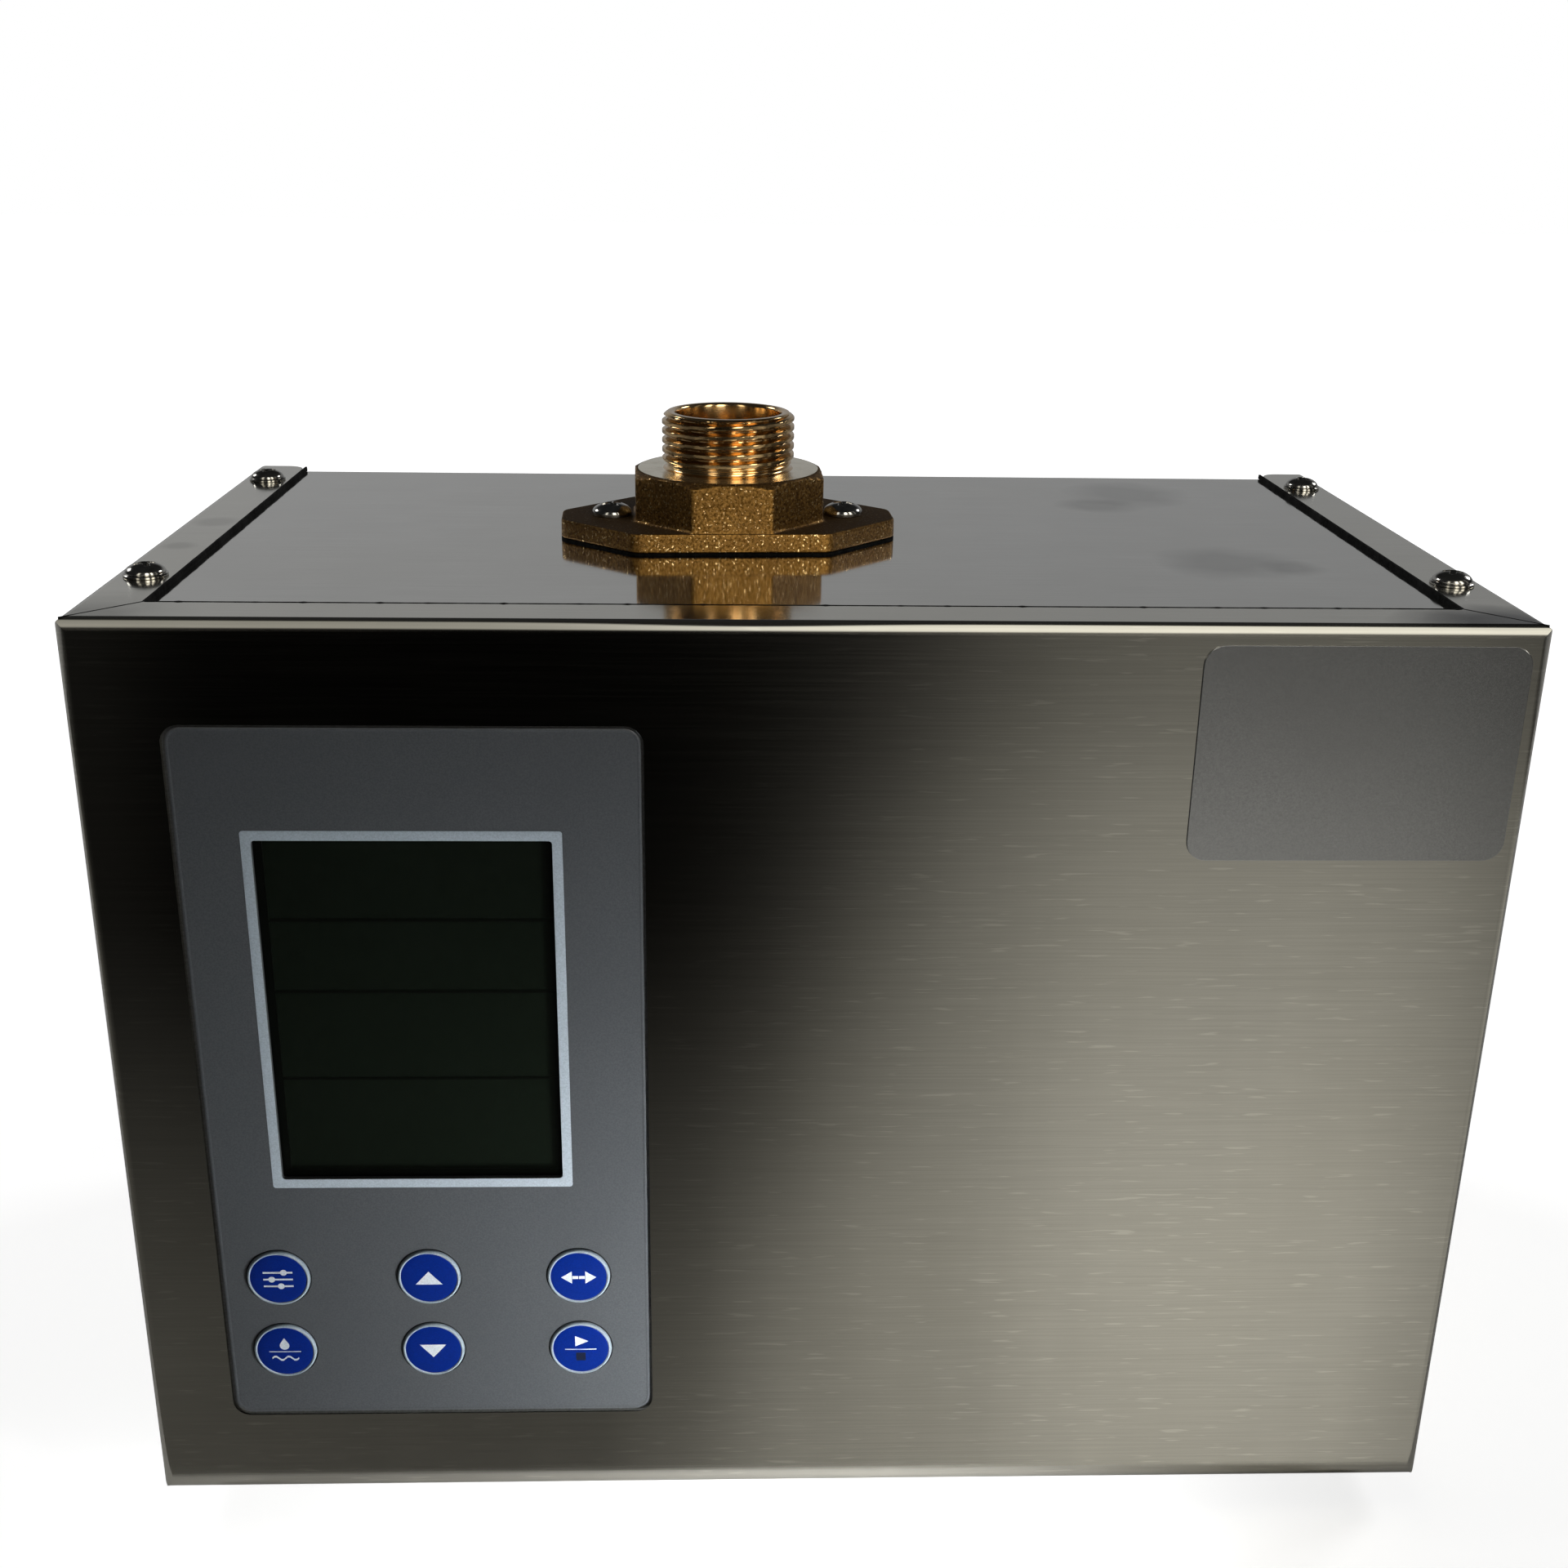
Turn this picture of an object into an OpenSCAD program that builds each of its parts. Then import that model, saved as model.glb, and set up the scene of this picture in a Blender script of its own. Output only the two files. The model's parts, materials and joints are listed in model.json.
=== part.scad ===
// Boxed hot water circulation pump: a folded stainless case with a key panel and two
// brass ports, and a canned-motor pump, check valve and controller inside it.
// Origin: centre of the four feet, on the surface they stand on.
// X runs to the viewer's right, Y away from the panel, Z up.

/* [Case] */
// Width of the case
case_w = 316; // [310:1:340]
// Depth of the case
case_d = 176; // [172:1:200]
// Height of the case without its feet
case_h = 224; // [218:1:250]
// Thickness of the folded sheet
sheet_t = 1.2; // [0.8:0.1:1.5]
// Outer radius of every bend
bend_r = 2.5; // [2:0.1:4]
// Width of the cover's folded flanges
flange_w = 14.3; // [13:0.1:17]
// Slot between the flanges at a mitred corner
mitre_gap = 0.4; // [0.2:0.1:1]
// Play between the chassis and the cover's walls
fold_gap = 0.4; // [0.2:0.1:1]
// Width of the chassis lips inside the cover's sides
lip_w = 12; // [8:1:16]
// Distance of a cover screw from the case's side
screw_edge = 8.2; // [7:0.1:9]
// Distance of the front cover screws from the case's front
screw_front = 38; // [30:1:60]
// Distance of the rear cover screws from the case's back
screw_back = 22; // [16:1:40]
// Length of one cooling slot in the back
vent_len = 46; // [30:1:60]
// Width of one cooling slot
vent_w = 3.2; // [2:0.1:4]
// Pitch of the cooling slots
vent_pitch = 8; // [6:0.5:12]
// Number of cooling slots in one column
vent_rows = 7; // [3:1:8]

/* [Feet] */
// Height of the case above the floor
foot_h = 8; // [6:0.5:14]
// Diameter of a foot at the floor
foot_d = 22; // [18:1:26]
// Distance of a foot's axis from the case's side
foot_inset_x = 30; // [28:1:50]
// Distance of a foot's axis from the case's front or back
foot_inset_y = 27; // [27:1:40]

/* [Fasteners] */
// Thread diameter of the pan head screws
screw_d = 5; // [4:0.5:5]
// Head diameter of the pan head screws
head_d = 10; // [8.5:0.1:10.4]
// Head height of the pan head screws
head_h = 3.4; // [2.5:0.1:3.8]
// Clearance of a screw hole, on the diameter
hole_play = 0.5; // [0.3:0.1:1]
// Width across flats of the hexagon nuts
nut_af = 8; // [7:0.5:9]
// Height of the hexagon nuts
nut_h = 4; // [3:0.1:4.5]

/* [Ports] */
// Distance of the outlet's axis from the middle of the case, sideways
outlet_x = -18; // [-22:0.5:-10]
// Distance of the outlet's axis from the middle of the case, backwards
outlet_y = 3; // [0:0.5:8]
// Turn of the outlet on its seat
outlet_turn = 2.5; // [-5:0.5:5]
// Thread diameter of the ports
thread_d = 33.25; // [30:0.05:36]
// Length of the threaded nipple
thread_len = 14.1; // [12:0.1:20]
// Bore of the ports
port_bore = 26.6; // [24:0.1:28]
// Width of the eight-sided body across its flats
body_af = 47; // [42:0.5:52]
// Height of the eight-sided body
body_h = 12.1; // [9:0.1:18]
// Thickness of the port's flange
port_flange_t = 4.7; // [3:0.1:7]
// Half length of the flange
port_half_l = 42.2; // [40:0.1:46]
// Half width of the flange
port_half_w = 24; // [23.5:0.1:27]
// Distance between the two flange screws
port_screw_span = 59; // [58:0.5:62]
// Thickness of the flat gasket
gasket_t = 0.5; // [0.3:0.1:1.5]
// Diameter of the spigot under the flange
spigot_d = 29.4; // [27:0.1:31]
// Depth of the spigot below its seat
spigot_len = 20.5; // [16:0.5:24]
// Bore of the spigot
spigot_bore = 21; // [18:0.5:23]

/* [Panel] */
// Width of the panel
panel_w = 101; // [96:0.5:104]
// Distance from the case's lower edge to the panel
panel_bottom = 23.3; // [20:0.1:30]
// Distance of the panel from the case's left edge
panel_left = 20.2; // [18:0.1:26]
// Distance of the panel from the case's top edge
panel_top = 23.7; // [20:0.1:30]
// Corner radius of the panel
panel_r = 3.5; // [1:0.1:8]
// Gap round the panel in its cut-out
panel_gap = 0.7; // [0.4:0.1:1.2]
// Depth of the panel's face behind the sheet's face
panel_sink = 0.6; // [0.3:0.1:0.8]
// Thickness of the printed overlay
overlay_t = 0.4; // [0.3:0.1:0.5]
// Thickness of the housing's front wall
housing_t = 2.7; // [2.4:0.1:3.5]
// Depth of the housing behind the case's front face
housing_depth = 36; // [34:0.5:38]
// Distance of the display and the keys from the panel's middle, to the left
layout_shift = 1.7; // [0:0.1:3]
// Width of the display opening
lcd_w = 65.2; // [58:0.1:68]
// Distance from the panel's top to the display opening
lcd_top = 25.9; // [22:0.1:30]
// Distance from the panel's lower edge to the display opening
lcd_bottom = 65.9; // [64:0.1:72]
// Depth of the display window behind the overlay's face
lcd_sink = 1.2; // [1:0.1:1.4]
// Thickness of the display window
window_t = 1.5; // [1:0.1:1.5]
// Diameter of a key
key_d = 15; // [12:0.1:16]
// Height of a key above the overlay
key_proud = 0.9; // [0.6:0.1:1.2]
// Distance between the columns of keys
key_pitch_x = 35.65; // [26:0.05:38]
// Distance between the rows of keys
key_pitch_z = 20.7; // [19:0.1:22]
// Height of the lower keys above the panel's lower edge
key_low = 18.1; // [15:0.1:19]
// Travel of a key
key_travel = 0.5; // [0.3:0.1:0.8]
// Width of the blank plate at the top right
plate_w = 71; // [50:1:90]
// Height of the blank plate
plate_h = 49.3; // [30:0.1:60]
// Distance of the blank plate from the case's right edge
plate_right = 4; // [3.5:0.1:12]
// Distance of the blank plate from the case's top edge
plate_top = 4.4; // [3.5:0.1:12]

/* [Pump] */
// Distance of the shaft's axis from the middle of the case, backwards
pump_y = 15; // [12:0.5:18]
// Height of the shaft's axis above the case's underside
pump_rise = 76; // [74:0.5:84]
// Diameter of the impeller
impeller_d = 74; // [66:1:75]
// Width of the impeller's passages
passage_w = 8; // [6:0.5:9]
// Thickness of an impeller shroud
shroud_t = 2.5; // [1.5:0.1:3]
// Number of impeller blades
blades = 6; // [4:1:8]
// Thickness of a blade
blade_t = 2; // [1.5:0.1:2.5]
// Radius of the impeller's eye
eye_r = 17.5; // [15:0.5:18]
// Running gap of the impeller's neck in its wear ring
neck_gap = 0.35; // [0.3:0.05:0.6]
// Half width of the volute's chamber
chamber_half = 9; // [8.5:0.5:10]
// Thickness of the casing's walls
casing_wall = 4; // [3:0.5:5]
// Radius of the volute's section at its cutwater
volute_r0 = 5; // [4:0.5:6]
// Radius of the volute's section at its throat
volute_r1 = 9; // [8:0.5:9.5]
// Diameter of the shaft
shaft_d = 10; // [8:0.5:12]
// Running gap of the shaft in a bearing, on the radius
shaft_gap = 0.03; // [0.02:0.01:0.06]

/* [Motor] */
// Length of the motor housing
motor_len = 110; // [106:1:114]
// Outer radius of the stator
stator_r = 45; // [44:0.5:46]
// Length of the stator core
stator_len = 50; // [40:1:54]
// Inner radius of the rotor can
can_r = 24; // [23.5:0.5:25]
// Thickness of the rotor can
can_t = 0.5; // [0.3:0.1:0.6]
// Wall of the motor housing
motor_wall = 4; // [3:0.5:5]
// Height of a cooling fin
fin_h = 5; // [3:0.5:6]

/* [Check valve] */
// Length of the valve body
valve_len = 56; // [54:1:60]
// Outer radius of the valve body
valve_r = 19; // [18.5:0.5:21]
// Radius of the valve's seat opening
seat_r = 9.5; // [8:0.5:10]
// Lift of the valve disc
valve_lift = 7; // [4:0.5:7]
// Wire diameter of the valve spring
spring_wire = 1.1; // [0.8:0.1:1.1]
// Turns of the valve spring
spring_turns = 4; // [3:1:4]

/* [Cable entry] */
// Distance from the right side to the gland's centre
gland_inset = 28; // [24:1:34]
// Height of the cable gland above the case's underside
gland_rise = 40; // [30:1:60]
// Bore of the cable gland's seal
gland_bore = 8; // [5:0.5:9]

/* [Hidden] */
$fn = 64;
tiny = 0.01;
side_x = case_w / 2;
front_y = -case_d / 2;
back_y = case_d / 2;
case_top = foot_h + case_h;
// The chassis lies one sheet inside the cover's flanges
plate_top_z = case_top - sheet_t;
roof_z = plate_top_z - sheet_t;
base_low_z = foot_h + sheet_t;
floor_z = base_low_z + sheet_t;
chassis_x = side_x - bend_r - fold_gap;
chassis_y = front_y + bend_r + fold_gap;
mitre_lap = 0.1;
panel_h = case_h - panel_top - panel_bottom;
lcd_h = panel_h - lcd_top - lcd_bottom;
gland_x = side_x - gland_inset;
hole_d = screw_d + hole_play;
pump_z = foot_h + pump_rise;
seat_gap = 0.3;
// Panel layout
panel_x = -side_x + panel_left + panel_w / 2;
panel_top_z = case_top - panel_top;
panel_z = panel_top_z - panel_h / 2;
overlay_y = front_y + panel_sink;
housing_y = overlay_y + overlay_t;
housing_in_y = housing_y + housing_t;
housing_back_y = front_y + housing_depth;
housing_wall = 2;
rim_w = 8;
layout_x = panel_x - layout_shift;
lcd_z = panel_top_z - lcd_top - lcd_h / 2;
window_y = overlay_y + lcd_sink;
window_lap = 2;
key_z = panel_z - panel_h / 2 + key_low + key_pitch_z;
board_y = housing_in_y + 8.4;
board_t = 1.6;
board_w = panel_w - 2 * housing_wall - 2;
board_h = panel_h - 2 * housing_wall - 4;
lcd_y = max(housing_in_y, window_y + window_t + 0.1);
boss_x = key_pitch_x / 2;
boss_z = board_h / 2 - 5;
parts_z = panel_z - board_h / 2 + 14.5;
power_z = panel_z + board_h / 2 - 46.5;
power_half_w = 16;
power_half_h = 21;
switch_h = 3.4;
stud_x = panel_w / 2 + rim_w / 2;
stud_z = panel_h / 2 - 25;
stud_d = 4;
stud_len = 9;
// Pump stations along the shaft
volute_x = outlet_x;
impeller_half = passage_w / 2 + shroud_t;
impeller_r = impeller_d / 2;
chamber_r = impeller_r + 2;
neck_r = eye_r + 2.5;
wear_r = neck_r + neck_gap + 3.5;
wear_x = volute_x - chamber_half - 10;
casing_left_x = volute_x - chamber_half - casing_wall;
casing_right_x = volute_x + chamber_half + casing_wall + 1;
pullout_r = impeller_r + 4;
plate_t = 6;
motor_x = casing_right_x + plate_t;
motor_end_x = motor_x + motor_len;
volute_base_r = impeller_r + 1.5;
riser_bore_r = 10;
pipe_r = 14;
pipe_play = 0.2;
neck_end_x = casing_left_x - 36;
drain_z = pump_z - volute_base_r - 2 * volute_r1 - 4;
shaft_r = shaft_d / 2;
shaft_x0 = volute_x - 16;
shaft_x1 = motor_end_x - 11;
bearing_r = shaft_r + 5;
bearing_len = 11;
front_bearing_x = casing_right_x + 5;
rear_bearing_x = shaft_x1 - bearing_len + 0.5;
can_x0 = motor_x;
can_x1 = motor_end_x - 8;
stator_x = motor_x + (motor_len - stator_len) / 2 - 2;
teeth = 9;
rotor_r = can_r - 1.2;
housing_r = stator_r + motor_wall;
magnet_t = 2.7;
lug_r = housing_r + head_d / 2 + 1;
lug_size = 5.8;
lug_screw_len = 18;
flange_t = 6;
flange_r = lug_r - 3.5;
socket_depth = 9;
socket_floor = 2.5;
casing_top_z = pump_z + flange_r + 0.6 + socket_floor + socket_depth;
// Check valve levels
port_seat_z = plate_top_z;
valve_top_z = roof_z - 4;
valve_low_z = valve_top_z - valve_len;
spider_z = port_seat_z - spigot_len - seat_gap - 3;
spring_room = 15;
valve_seat_z = spider_z - spring_room - valve_lift;
disc_z = valve_seat_z + seat_gap;
disc_t = 3;
sensor_z = disc_z + 9;
stem_r = 2.5;
stem_gap = 0.04;
chamber_v_r = spigot_d / 2 - 1.2;
spring_r = 6;
hub_low_z = spider_z - 3;
gland_z = foot_h + gland_rise;
// Mount and bracket levels
mount_h = 8;
bracket_t = 2;
bracket_z = floor_z + mount_h;
bracket_x0 = motor_x + 6;
bracket_x1 = motor_end_x - 4;
bracket_half = 34;
bracket_lip = 12;
pad_t = 5;
pad_half = 22;
pad_web = 10;
bolt_y = 17.5;

// Outlines and rods

// Rectangle with round corners, centred
module rounded_rect(w, h, r) {
    square([w - 2 * r, h], center = true);
    square([w, h - 2 * r], center = true);
    for (sx = [-1, 1], sy = [-1, 1])
        translate([sx * (w / 2 - r), sy * (h / 2 - r)]) circle(r = r);
}

// Points of a convex outline whose corners are rounded by arcs of radius r
function round_corner(a, b, c, r, steps = 6) =
    let (u = (a - b) / norm(a - b), v = (c - b) / norm(c - b),
         half = acos(u * v) / 2, m = (u + v) / norm(u + v),
         o = b + m * r / sin(half),
         a0 = atan2((b + u * r / tan(half) - o)[1], (b + u * r / tan(half) - o)[0]),
         a1 = atan2((b + v * r / tan(half) - o)[1], (b + v * r / tan(half) - o)[0]),
         turn = (a1 - a0 > 180) ? a1 - a0 - 360 : (a1 - a0 < -180) ? a1 - a0 + 360 : a1 - a0)
    [for (i = [0:steps]) o + r * [cos(a0 + turn * i / steps), sin(a0 + turn * i / steps)]];
function rounded_outline(p, r) =
    [for (i = [0:len(p) - 1])
        each round_corner(p[(i + len(p) - 1) % len(p)], p[i], p[(i + 1) % len(p)], r)];

module rod_x(x0, x1, r, y = pump_y, z = pump_z) {
    translate([x0, y, z]) rotate([0, 90, 0]) cylinder(h = x1 - x0, r = r);
}

module rod_y(y0, y1, r, x, z) {
    translate([x, y0, z]) rotate([-90, 0, 0]) cylinder(h = y1 - y0, r = r);
}

module rod_z(z0, z1, r, x, y) {
    translate([x, y, z0]) cylinder(h = z1 - z0, r = r);
}

// Solid turned about the shaft's axis from its profile's points, each [x, radius]
module turned_x(points) {
    translate([0, pump_y, pump_z]) rotate([0, 90, 0]) rotate_extrude()
        polygon([for (p = points) [p[1], p[0]]]);
}

module ring_x(x0, x1, r_out, r_in) {
    difference() {
        rod_x(x0, x1, r_out);
        rod_x(x0 - 1, x1 + 1, r_in);
    }
}

// Upright slab in the panel's plane, from y0 to y1
module panel_slab(w, h, r, y0, y1, x = panel_x, z = panel_z) {
    translate([x, y1, z]) rotate([90, 0, 0]) linear_extrude(y1 - y0) rounded_rect(w, h, r);
}

// Pan head screw with a cross recess: the head lies on z = 0 and the shank points down
module pan_screw(len, d = screw_d, hd = head_d, hh = head_h) {
    rim = hh * 0.35;
    crown = hh - rim;
    cap_r = (hd * hd / 4 + crown * crown) / (2 * crown);
    difference() {
        union() {
            rotate_extrude() intersection() {
                translate([0, hh - cap_r]) circle(r = cap_r);
                square([hd / 2, hh + 1]);
            }
            translate([0, 0, -len]) cylinder(h = len + tiny, d = d);
        }
        for (a = [0, 90])
            rotate([0, 0, a]) translate([0, 0, hh]) cube([hd * 0.55, hd * 0.12, 2.4], center = true);
    }
}

module hex_nut(af = nut_af, h = nut_h, d = screw_d + 0.3) {
    difference() {
        cylinder(h = h, d = af / cos(30), $fn = 6);
        translate([0, 0, -1]) cylinder(h = h + 2, d = d);
    }
}

// Places on the case

module at_cover_screws() {
    for (sx = [-1, 1], y = [front_y + screw_front, back_y - screw_back])
        translate([sx * (side_x - screw_edge), y, 0]) children();
}

module at_feet() {
    for (sx = [-1, 1], sy = [-1, 1])
        translate([sx * (side_x - foot_inset_x), sy * (case_d / 2 - foot_inset_y), 0]) children();
}

module at_mounts() {
    for (x = [bracket_x0 + 10, bracket_x1 - 10], sy = [-1, 1])
        translate([x, pump_y + sy * (bracket_half - 11), 0]) children();
}

module at_foot_bolts() {
    for (x = [bracket_x0 + 24, bracket_x1 - 24], sy = [-1, 1])
        translate([x, pump_y + sy * bolt_y, 0]) children();
}

module at_outlet() {
    translate([outlet_x, outlet_y, port_seat_z]) rotate([0, 0, outlet_turn]) children();
}

module at_inlet() {
    translate([-side_x, pump_y, pump_z]) rotate([0, -90, 0]) children();
}

module at_port_screws() {
    for (s = [-1, 1]) translate([s * port_screw_span / 2, 0, 0]) children();
}

module at_studs() {
    for (sx = [-1, 1], sz = [-1, 1])
        translate([panel_x + sx * stud_x, 0, panel_z + sz * stud_z]) children();
}

module at_bosses() {
    for (sx = [-1, 1], sz = [-1, 1])
        translate([layout_x + sx * boss_x, 0, panel_z + sz * boss_z]) children();
}

module at_key(col, row) {
    translate([layout_x + col * key_pitch_x, 0, key_z - row * key_pitch_z]) children();
}

module at_keys() {
    for (col = [-1, 0, 1], row = [0, 1]) at_key(col, row) children();
}

module at_lugs() {
    for (a = [45:90:315]) rotate([a, 0, 0]) translate([0, lug_r, 0]) children();
}

// Folded case

// Closed fold of the sheet: a rounded ring of the case's own height
module fold_ring(w) {
    difference() {
        rounded_rect(w, case_h, bend_r);
        rounded_rect(w - 2 * sheet_t, case_h - 2 * sheet_t, bend_r - sheet_t);
    }
}

module front_fold() {
    intersection() {
        translate([-side_x, 0, foot_h + case_h / 2])
            rotate([90, 0, 90]) linear_extrude(case_w) fold_ring(case_d);
        linear_extrude(case_top + 1)
            polygon([[-side_x, front_y], [side_x, front_y],
                [side_x - flange_w, front_y + flange_w], [-side_x + flange_w, front_y + flange_w]]);
    }
}

module side_fold(s) {
    intersection() {
        translate([0, back_y, foot_h + case_h / 2])
            rotate([90, 0, 0]) linear_extrude(case_d) fold_ring(case_w);
        linear_extrude(case_top + 1)
            polygon([[s * side_x, front_y - mitre_lap],
                [s * (side_x - flange_w), front_y + flange_w - mitre_lap],
                [s * (side_x - flange_w), back_y], [s * side_x, back_y]]);
    }
}

// Slots that part the flanges at the mitres, and the round ends of the side flanges
module flange_cuts() {
    for (s = [-1, 1], z = [foot_h - 1, case_top - sheet_t - tiny]) {
        translate([s * side_x, front_y, z])
            rotate([0, 0, 90 - s * -45]) translate([bend_r * 1.6, -mitre_gap / 2, 0])
            cube([flange_w * 2, mitre_gap, sheet_t + 1 + tiny]);
        translate([s * (side_x - flange_w), back_y, z]) difference() {
            translate([0, 0, (sheet_t + 1) / 2]) cube([10, 10, sheet_t + 1 + 2 * tiny], center = true);
            translate([s * 5, -5, -1]) cylinder(h = sheet_t + 3, r = 5);
            translate([s * 5, -10, -1]) cube([10, 10, sheet_t + 12], center = true);
            translate([s * 10, -5, -1]) cube([10, 10, sheet_t + 12], center = true);
        }
    }
}

module front_cover() {
    color("silver") {
        difference() {
            intersection() {
                union() {
                    front_fold();
                    side_fold(-1);
                    side_fold(1);
                }
                translate([0, bend_r, 0]) linear_extrude(case_top + 1)
                    rounded_rect(case_w, case_d + 2 * bend_r, bend_r);
            }
            flange_cuts();
            panel_slab(panel_w + 2 * panel_gap, panel_h + 2 * panel_gap, panel_r + panel_gap,
                front_y - 1, front_y + sheet_t + 1);
            at_cover_screws() cylinder(h = case_top + 1, d = hole_d);
            at_inlet() {
                translate([0, 0, -sheet_t - 1]) cylinder(h = sheet_t + 2, d = spigot_d + 1);
                at_port_screws() translate([0, 0, -sheet_t - 1]) cylinder(h = sheet_t + 2, d = hole_d);
            }
        }
        at_studs() rod_y(front_y + sheet_t - tiny, front_y + sheet_t + stud_len, stud_d / 2, 0, 0);
    }
}

module vent_column(x) {
    for (i = [0:vent_rows - 1])
        translate([x, back_y - sheet_t - 1, roof_z - 40 - i * vent_pitch])
            rotate([-90, 0, 0]) linear_extrude(sheet_t + 2)
            rounded_rect(vent_len, vent_w, vent_w / 2 - tiny);
}

module chassis() {
    inner_h = case_h - 2 * sheet_t;
    color("lightsteelblue") difference() {
        union() {
            intersection() {
                translate([-chassis_x, 0, foot_h + case_h / 2]) rotate([90, 0, 90])
                    linear_extrude(2 * chassis_x) difference() {
                        rounded_rect(case_d, inner_h, bend_r);
                        rounded_rect(case_d - 2 * sheet_t, inner_h - 2 * sheet_t, bend_r - sheet_t);
                        translate([front_y, 0])
                            square([2 * (chassis_y - front_y), case_h], center = true);
                    }
                translate([-side_x, front_y, 0]) cube([case_w, case_d, case_top]);
            }
            for (s = [-1, 1])
                translate([s > 0 ? chassis_x - sheet_t : -chassis_x, back_y - lip_w, floor_z + 2])
                    cube([sheet_t, lip_w - tiny, roof_z - floor_z - 4]);
            at_cover_screws() {
                translate([0, 0, roof_z - 1.5]) cylinder(h = 2, d = screw_d + 3);
                translate([0, 0, floor_z - 0.5]) cylinder(h = 2, d = screw_d + 3);
            }
        }
        at_cover_screws() cylinder(h = case_top + 1, d = screw_d + 0.2);
        at_feet() cylinder(h = floor_z + 1, d = hole_d);
        at_mounts() cylinder(h = floor_z + 1, d = hole_d);
        at_outlet() {
            translate([0, 0, -sheet_t - 1]) cylinder(h = sheet_t + 2, d = spigot_d + 1);
            at_port_screws() translate([0, 0, -sheet_t - 1]) cylinder(h = sheet_t + 2, d = hole_d);
        }
        rod_y(back_y - sheet_t - 1, back_y + 1, 10.2, gland_x, gland_z);
        for (s = [-1, 1]) vent_column(s * side_x / 2);
    }
}

module cover_screws() {
    color("dimgray") at_cover_screws() {
        translate([0, 0, case_top]) pan_screw(8);
        translate([0, 0, foot_h]) mirror([0, 0, 1]) pan_screw(8);
    }
}

// Feet

module rubber_feet() {
    color("#202224") at_feet() difference() {
        cylinder(h = base_low_z, d1 = foot_d, d2 = foot_d + 3);
        translate([0, 0, -1]) cylinder(h = base_low_z - 3, d = head_d + 1);
        cylinder(h = base_low_z + 1, d = hole_d);
    }
}

module foot_screws() {
    color("dimgray") {
        at_feet() translate([0, 0, base_low_z - 4]) mirror([0, 0, 1]) pan_screw(11);
        at_mounts() translate([0, 0, base_low_z]) mirror([0, 0, 1])
            pan_screw(sheet_t + mount_h + bracket_t + nut_h + 1);
    }
}

// Nuts of the feet, the rubber mounts, the motor's foot and the two ports
module lock_nuts() {
    color("gainsboro") {
        at_feet() translate([0, 0, floor_z]) hex_nut();
        at_mounts() translate([0, 0, bracket_z + bracket_t]) hex_nut();
        at_foot_bolts() translate([0, 0, bracket_z - nut_h]) hex_nut();
        at_outlet() at_port_screws() translate([0, 0, -sheet_t - nut_h]) hex_nut();
        at_inlet() at_port_screws() translate([0, 0, -sheet_t - nut_h]) hex_nut();
    }
}

module nameplate() {
    x = side_x - plate_right - plate_w / 2;
    z = case_top - plate_top - plate_h / 2;
    color("gainsboro") panel_slab(plate_w, plate_h, 4.5, front_y - 0.3, front_y, x, z);
}

// Ports: the seat is at z = 0 and the nipple points up

port_outline = rounded_outline([
    [23.8, -port_half_w], [port_half_l, -6], [port_half_l, 6], [23.8, port_half_w],
    [-23.8, port_half_w], [-port_half_l, 6], [-port_half_l, -6], [-23.8, -port_half_w]], 4);

module port_body() {
    body_z = gasket_t + port_flange_t;
    body_top = body_z + body_h;
    color("#9a7434") difference() {
        union() {
            translate([0, 0, gasket_t]) linear_extrude(port_flange_t) polygon(port_outline);
            // Eight-sided body, its top corners turned off at 30 degrees
            intersection() {
                translate([0, 0, body_z - 1]) rotate([0, 0, 22.5])
                    cylinder(h = body_h + 1, d = body_af / cos(22.5), $fn = 8);
                translate([0, 0, body_z - 2])
                    cylinder(h = body_h + 2, r1 = body_af / 2 - 0.6 + (body_h + 2) / tan(30),
                        r2 = body_af / 2 - 0.6);
            }
            translate([0, 0, body_top - 1]) cylinder(h = thread_len, d = thread_d);
            translate([0, 0, body_top + thread_len - 1 - tiny])
                cylinder(h = 1 + tiny, d1 = thread_d, d2 = thread_d - 2);
            translate([0, 0, -spigot_len]) cylinder(h = spigot_len + 1, d = spigot_d);
        }
        translate([0, 0, 2]) cylinder(h = 60, d = port_bore);
        translate([0, 0, -spigot_len - 1]) cylinder(h = 60, d = spigot_bore);
        at_port_screws() cylinder(h = 20, d = hole_d);
        spigot_groove(2.6);
    }
}

// Groove for the spigot's sealing ring, or the ring itself
module spigot_groove(w) {
    translate([0, 0, -spigot_len + 5]) rotate_extrude()
        translate([spigot_d / 2 - 1.8, -w / 2]) square([3, w]);
}

module port_gasket() {
    color("#303234") difference() {
        linear_extrude(gasket_t) polygon(port_outline);
        translate([0, 0, -1]) cylinder(h = 3, d = spigot_d + 1);
        at_port_screws() translate([0, 0, -1]) cylinder(h = 3, d = hole_d);
    }
}

module port_screws() {
    color("dimgray") at_port_screws()
        translate([0, 0, gasket_t + port_flange_t]) rotate([0, 0, 20])
        pan_screw(gasket_t + port_flange_t + sheet_t + nut_h + 1);
}

module outlet_port() { at_outlet() port_body(); }
module outlet_gasket() { at_outlet() port_gasket(); }
module outlet_screws() { at_outlet() port_screws(); }
module inlet_port() { at_inlet() port_body(); }
module inlet_gasket() { at_inlet() port_gasket(); }
module inlet_screws() { at_inlet() port_screws(); }

// Panel

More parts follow.
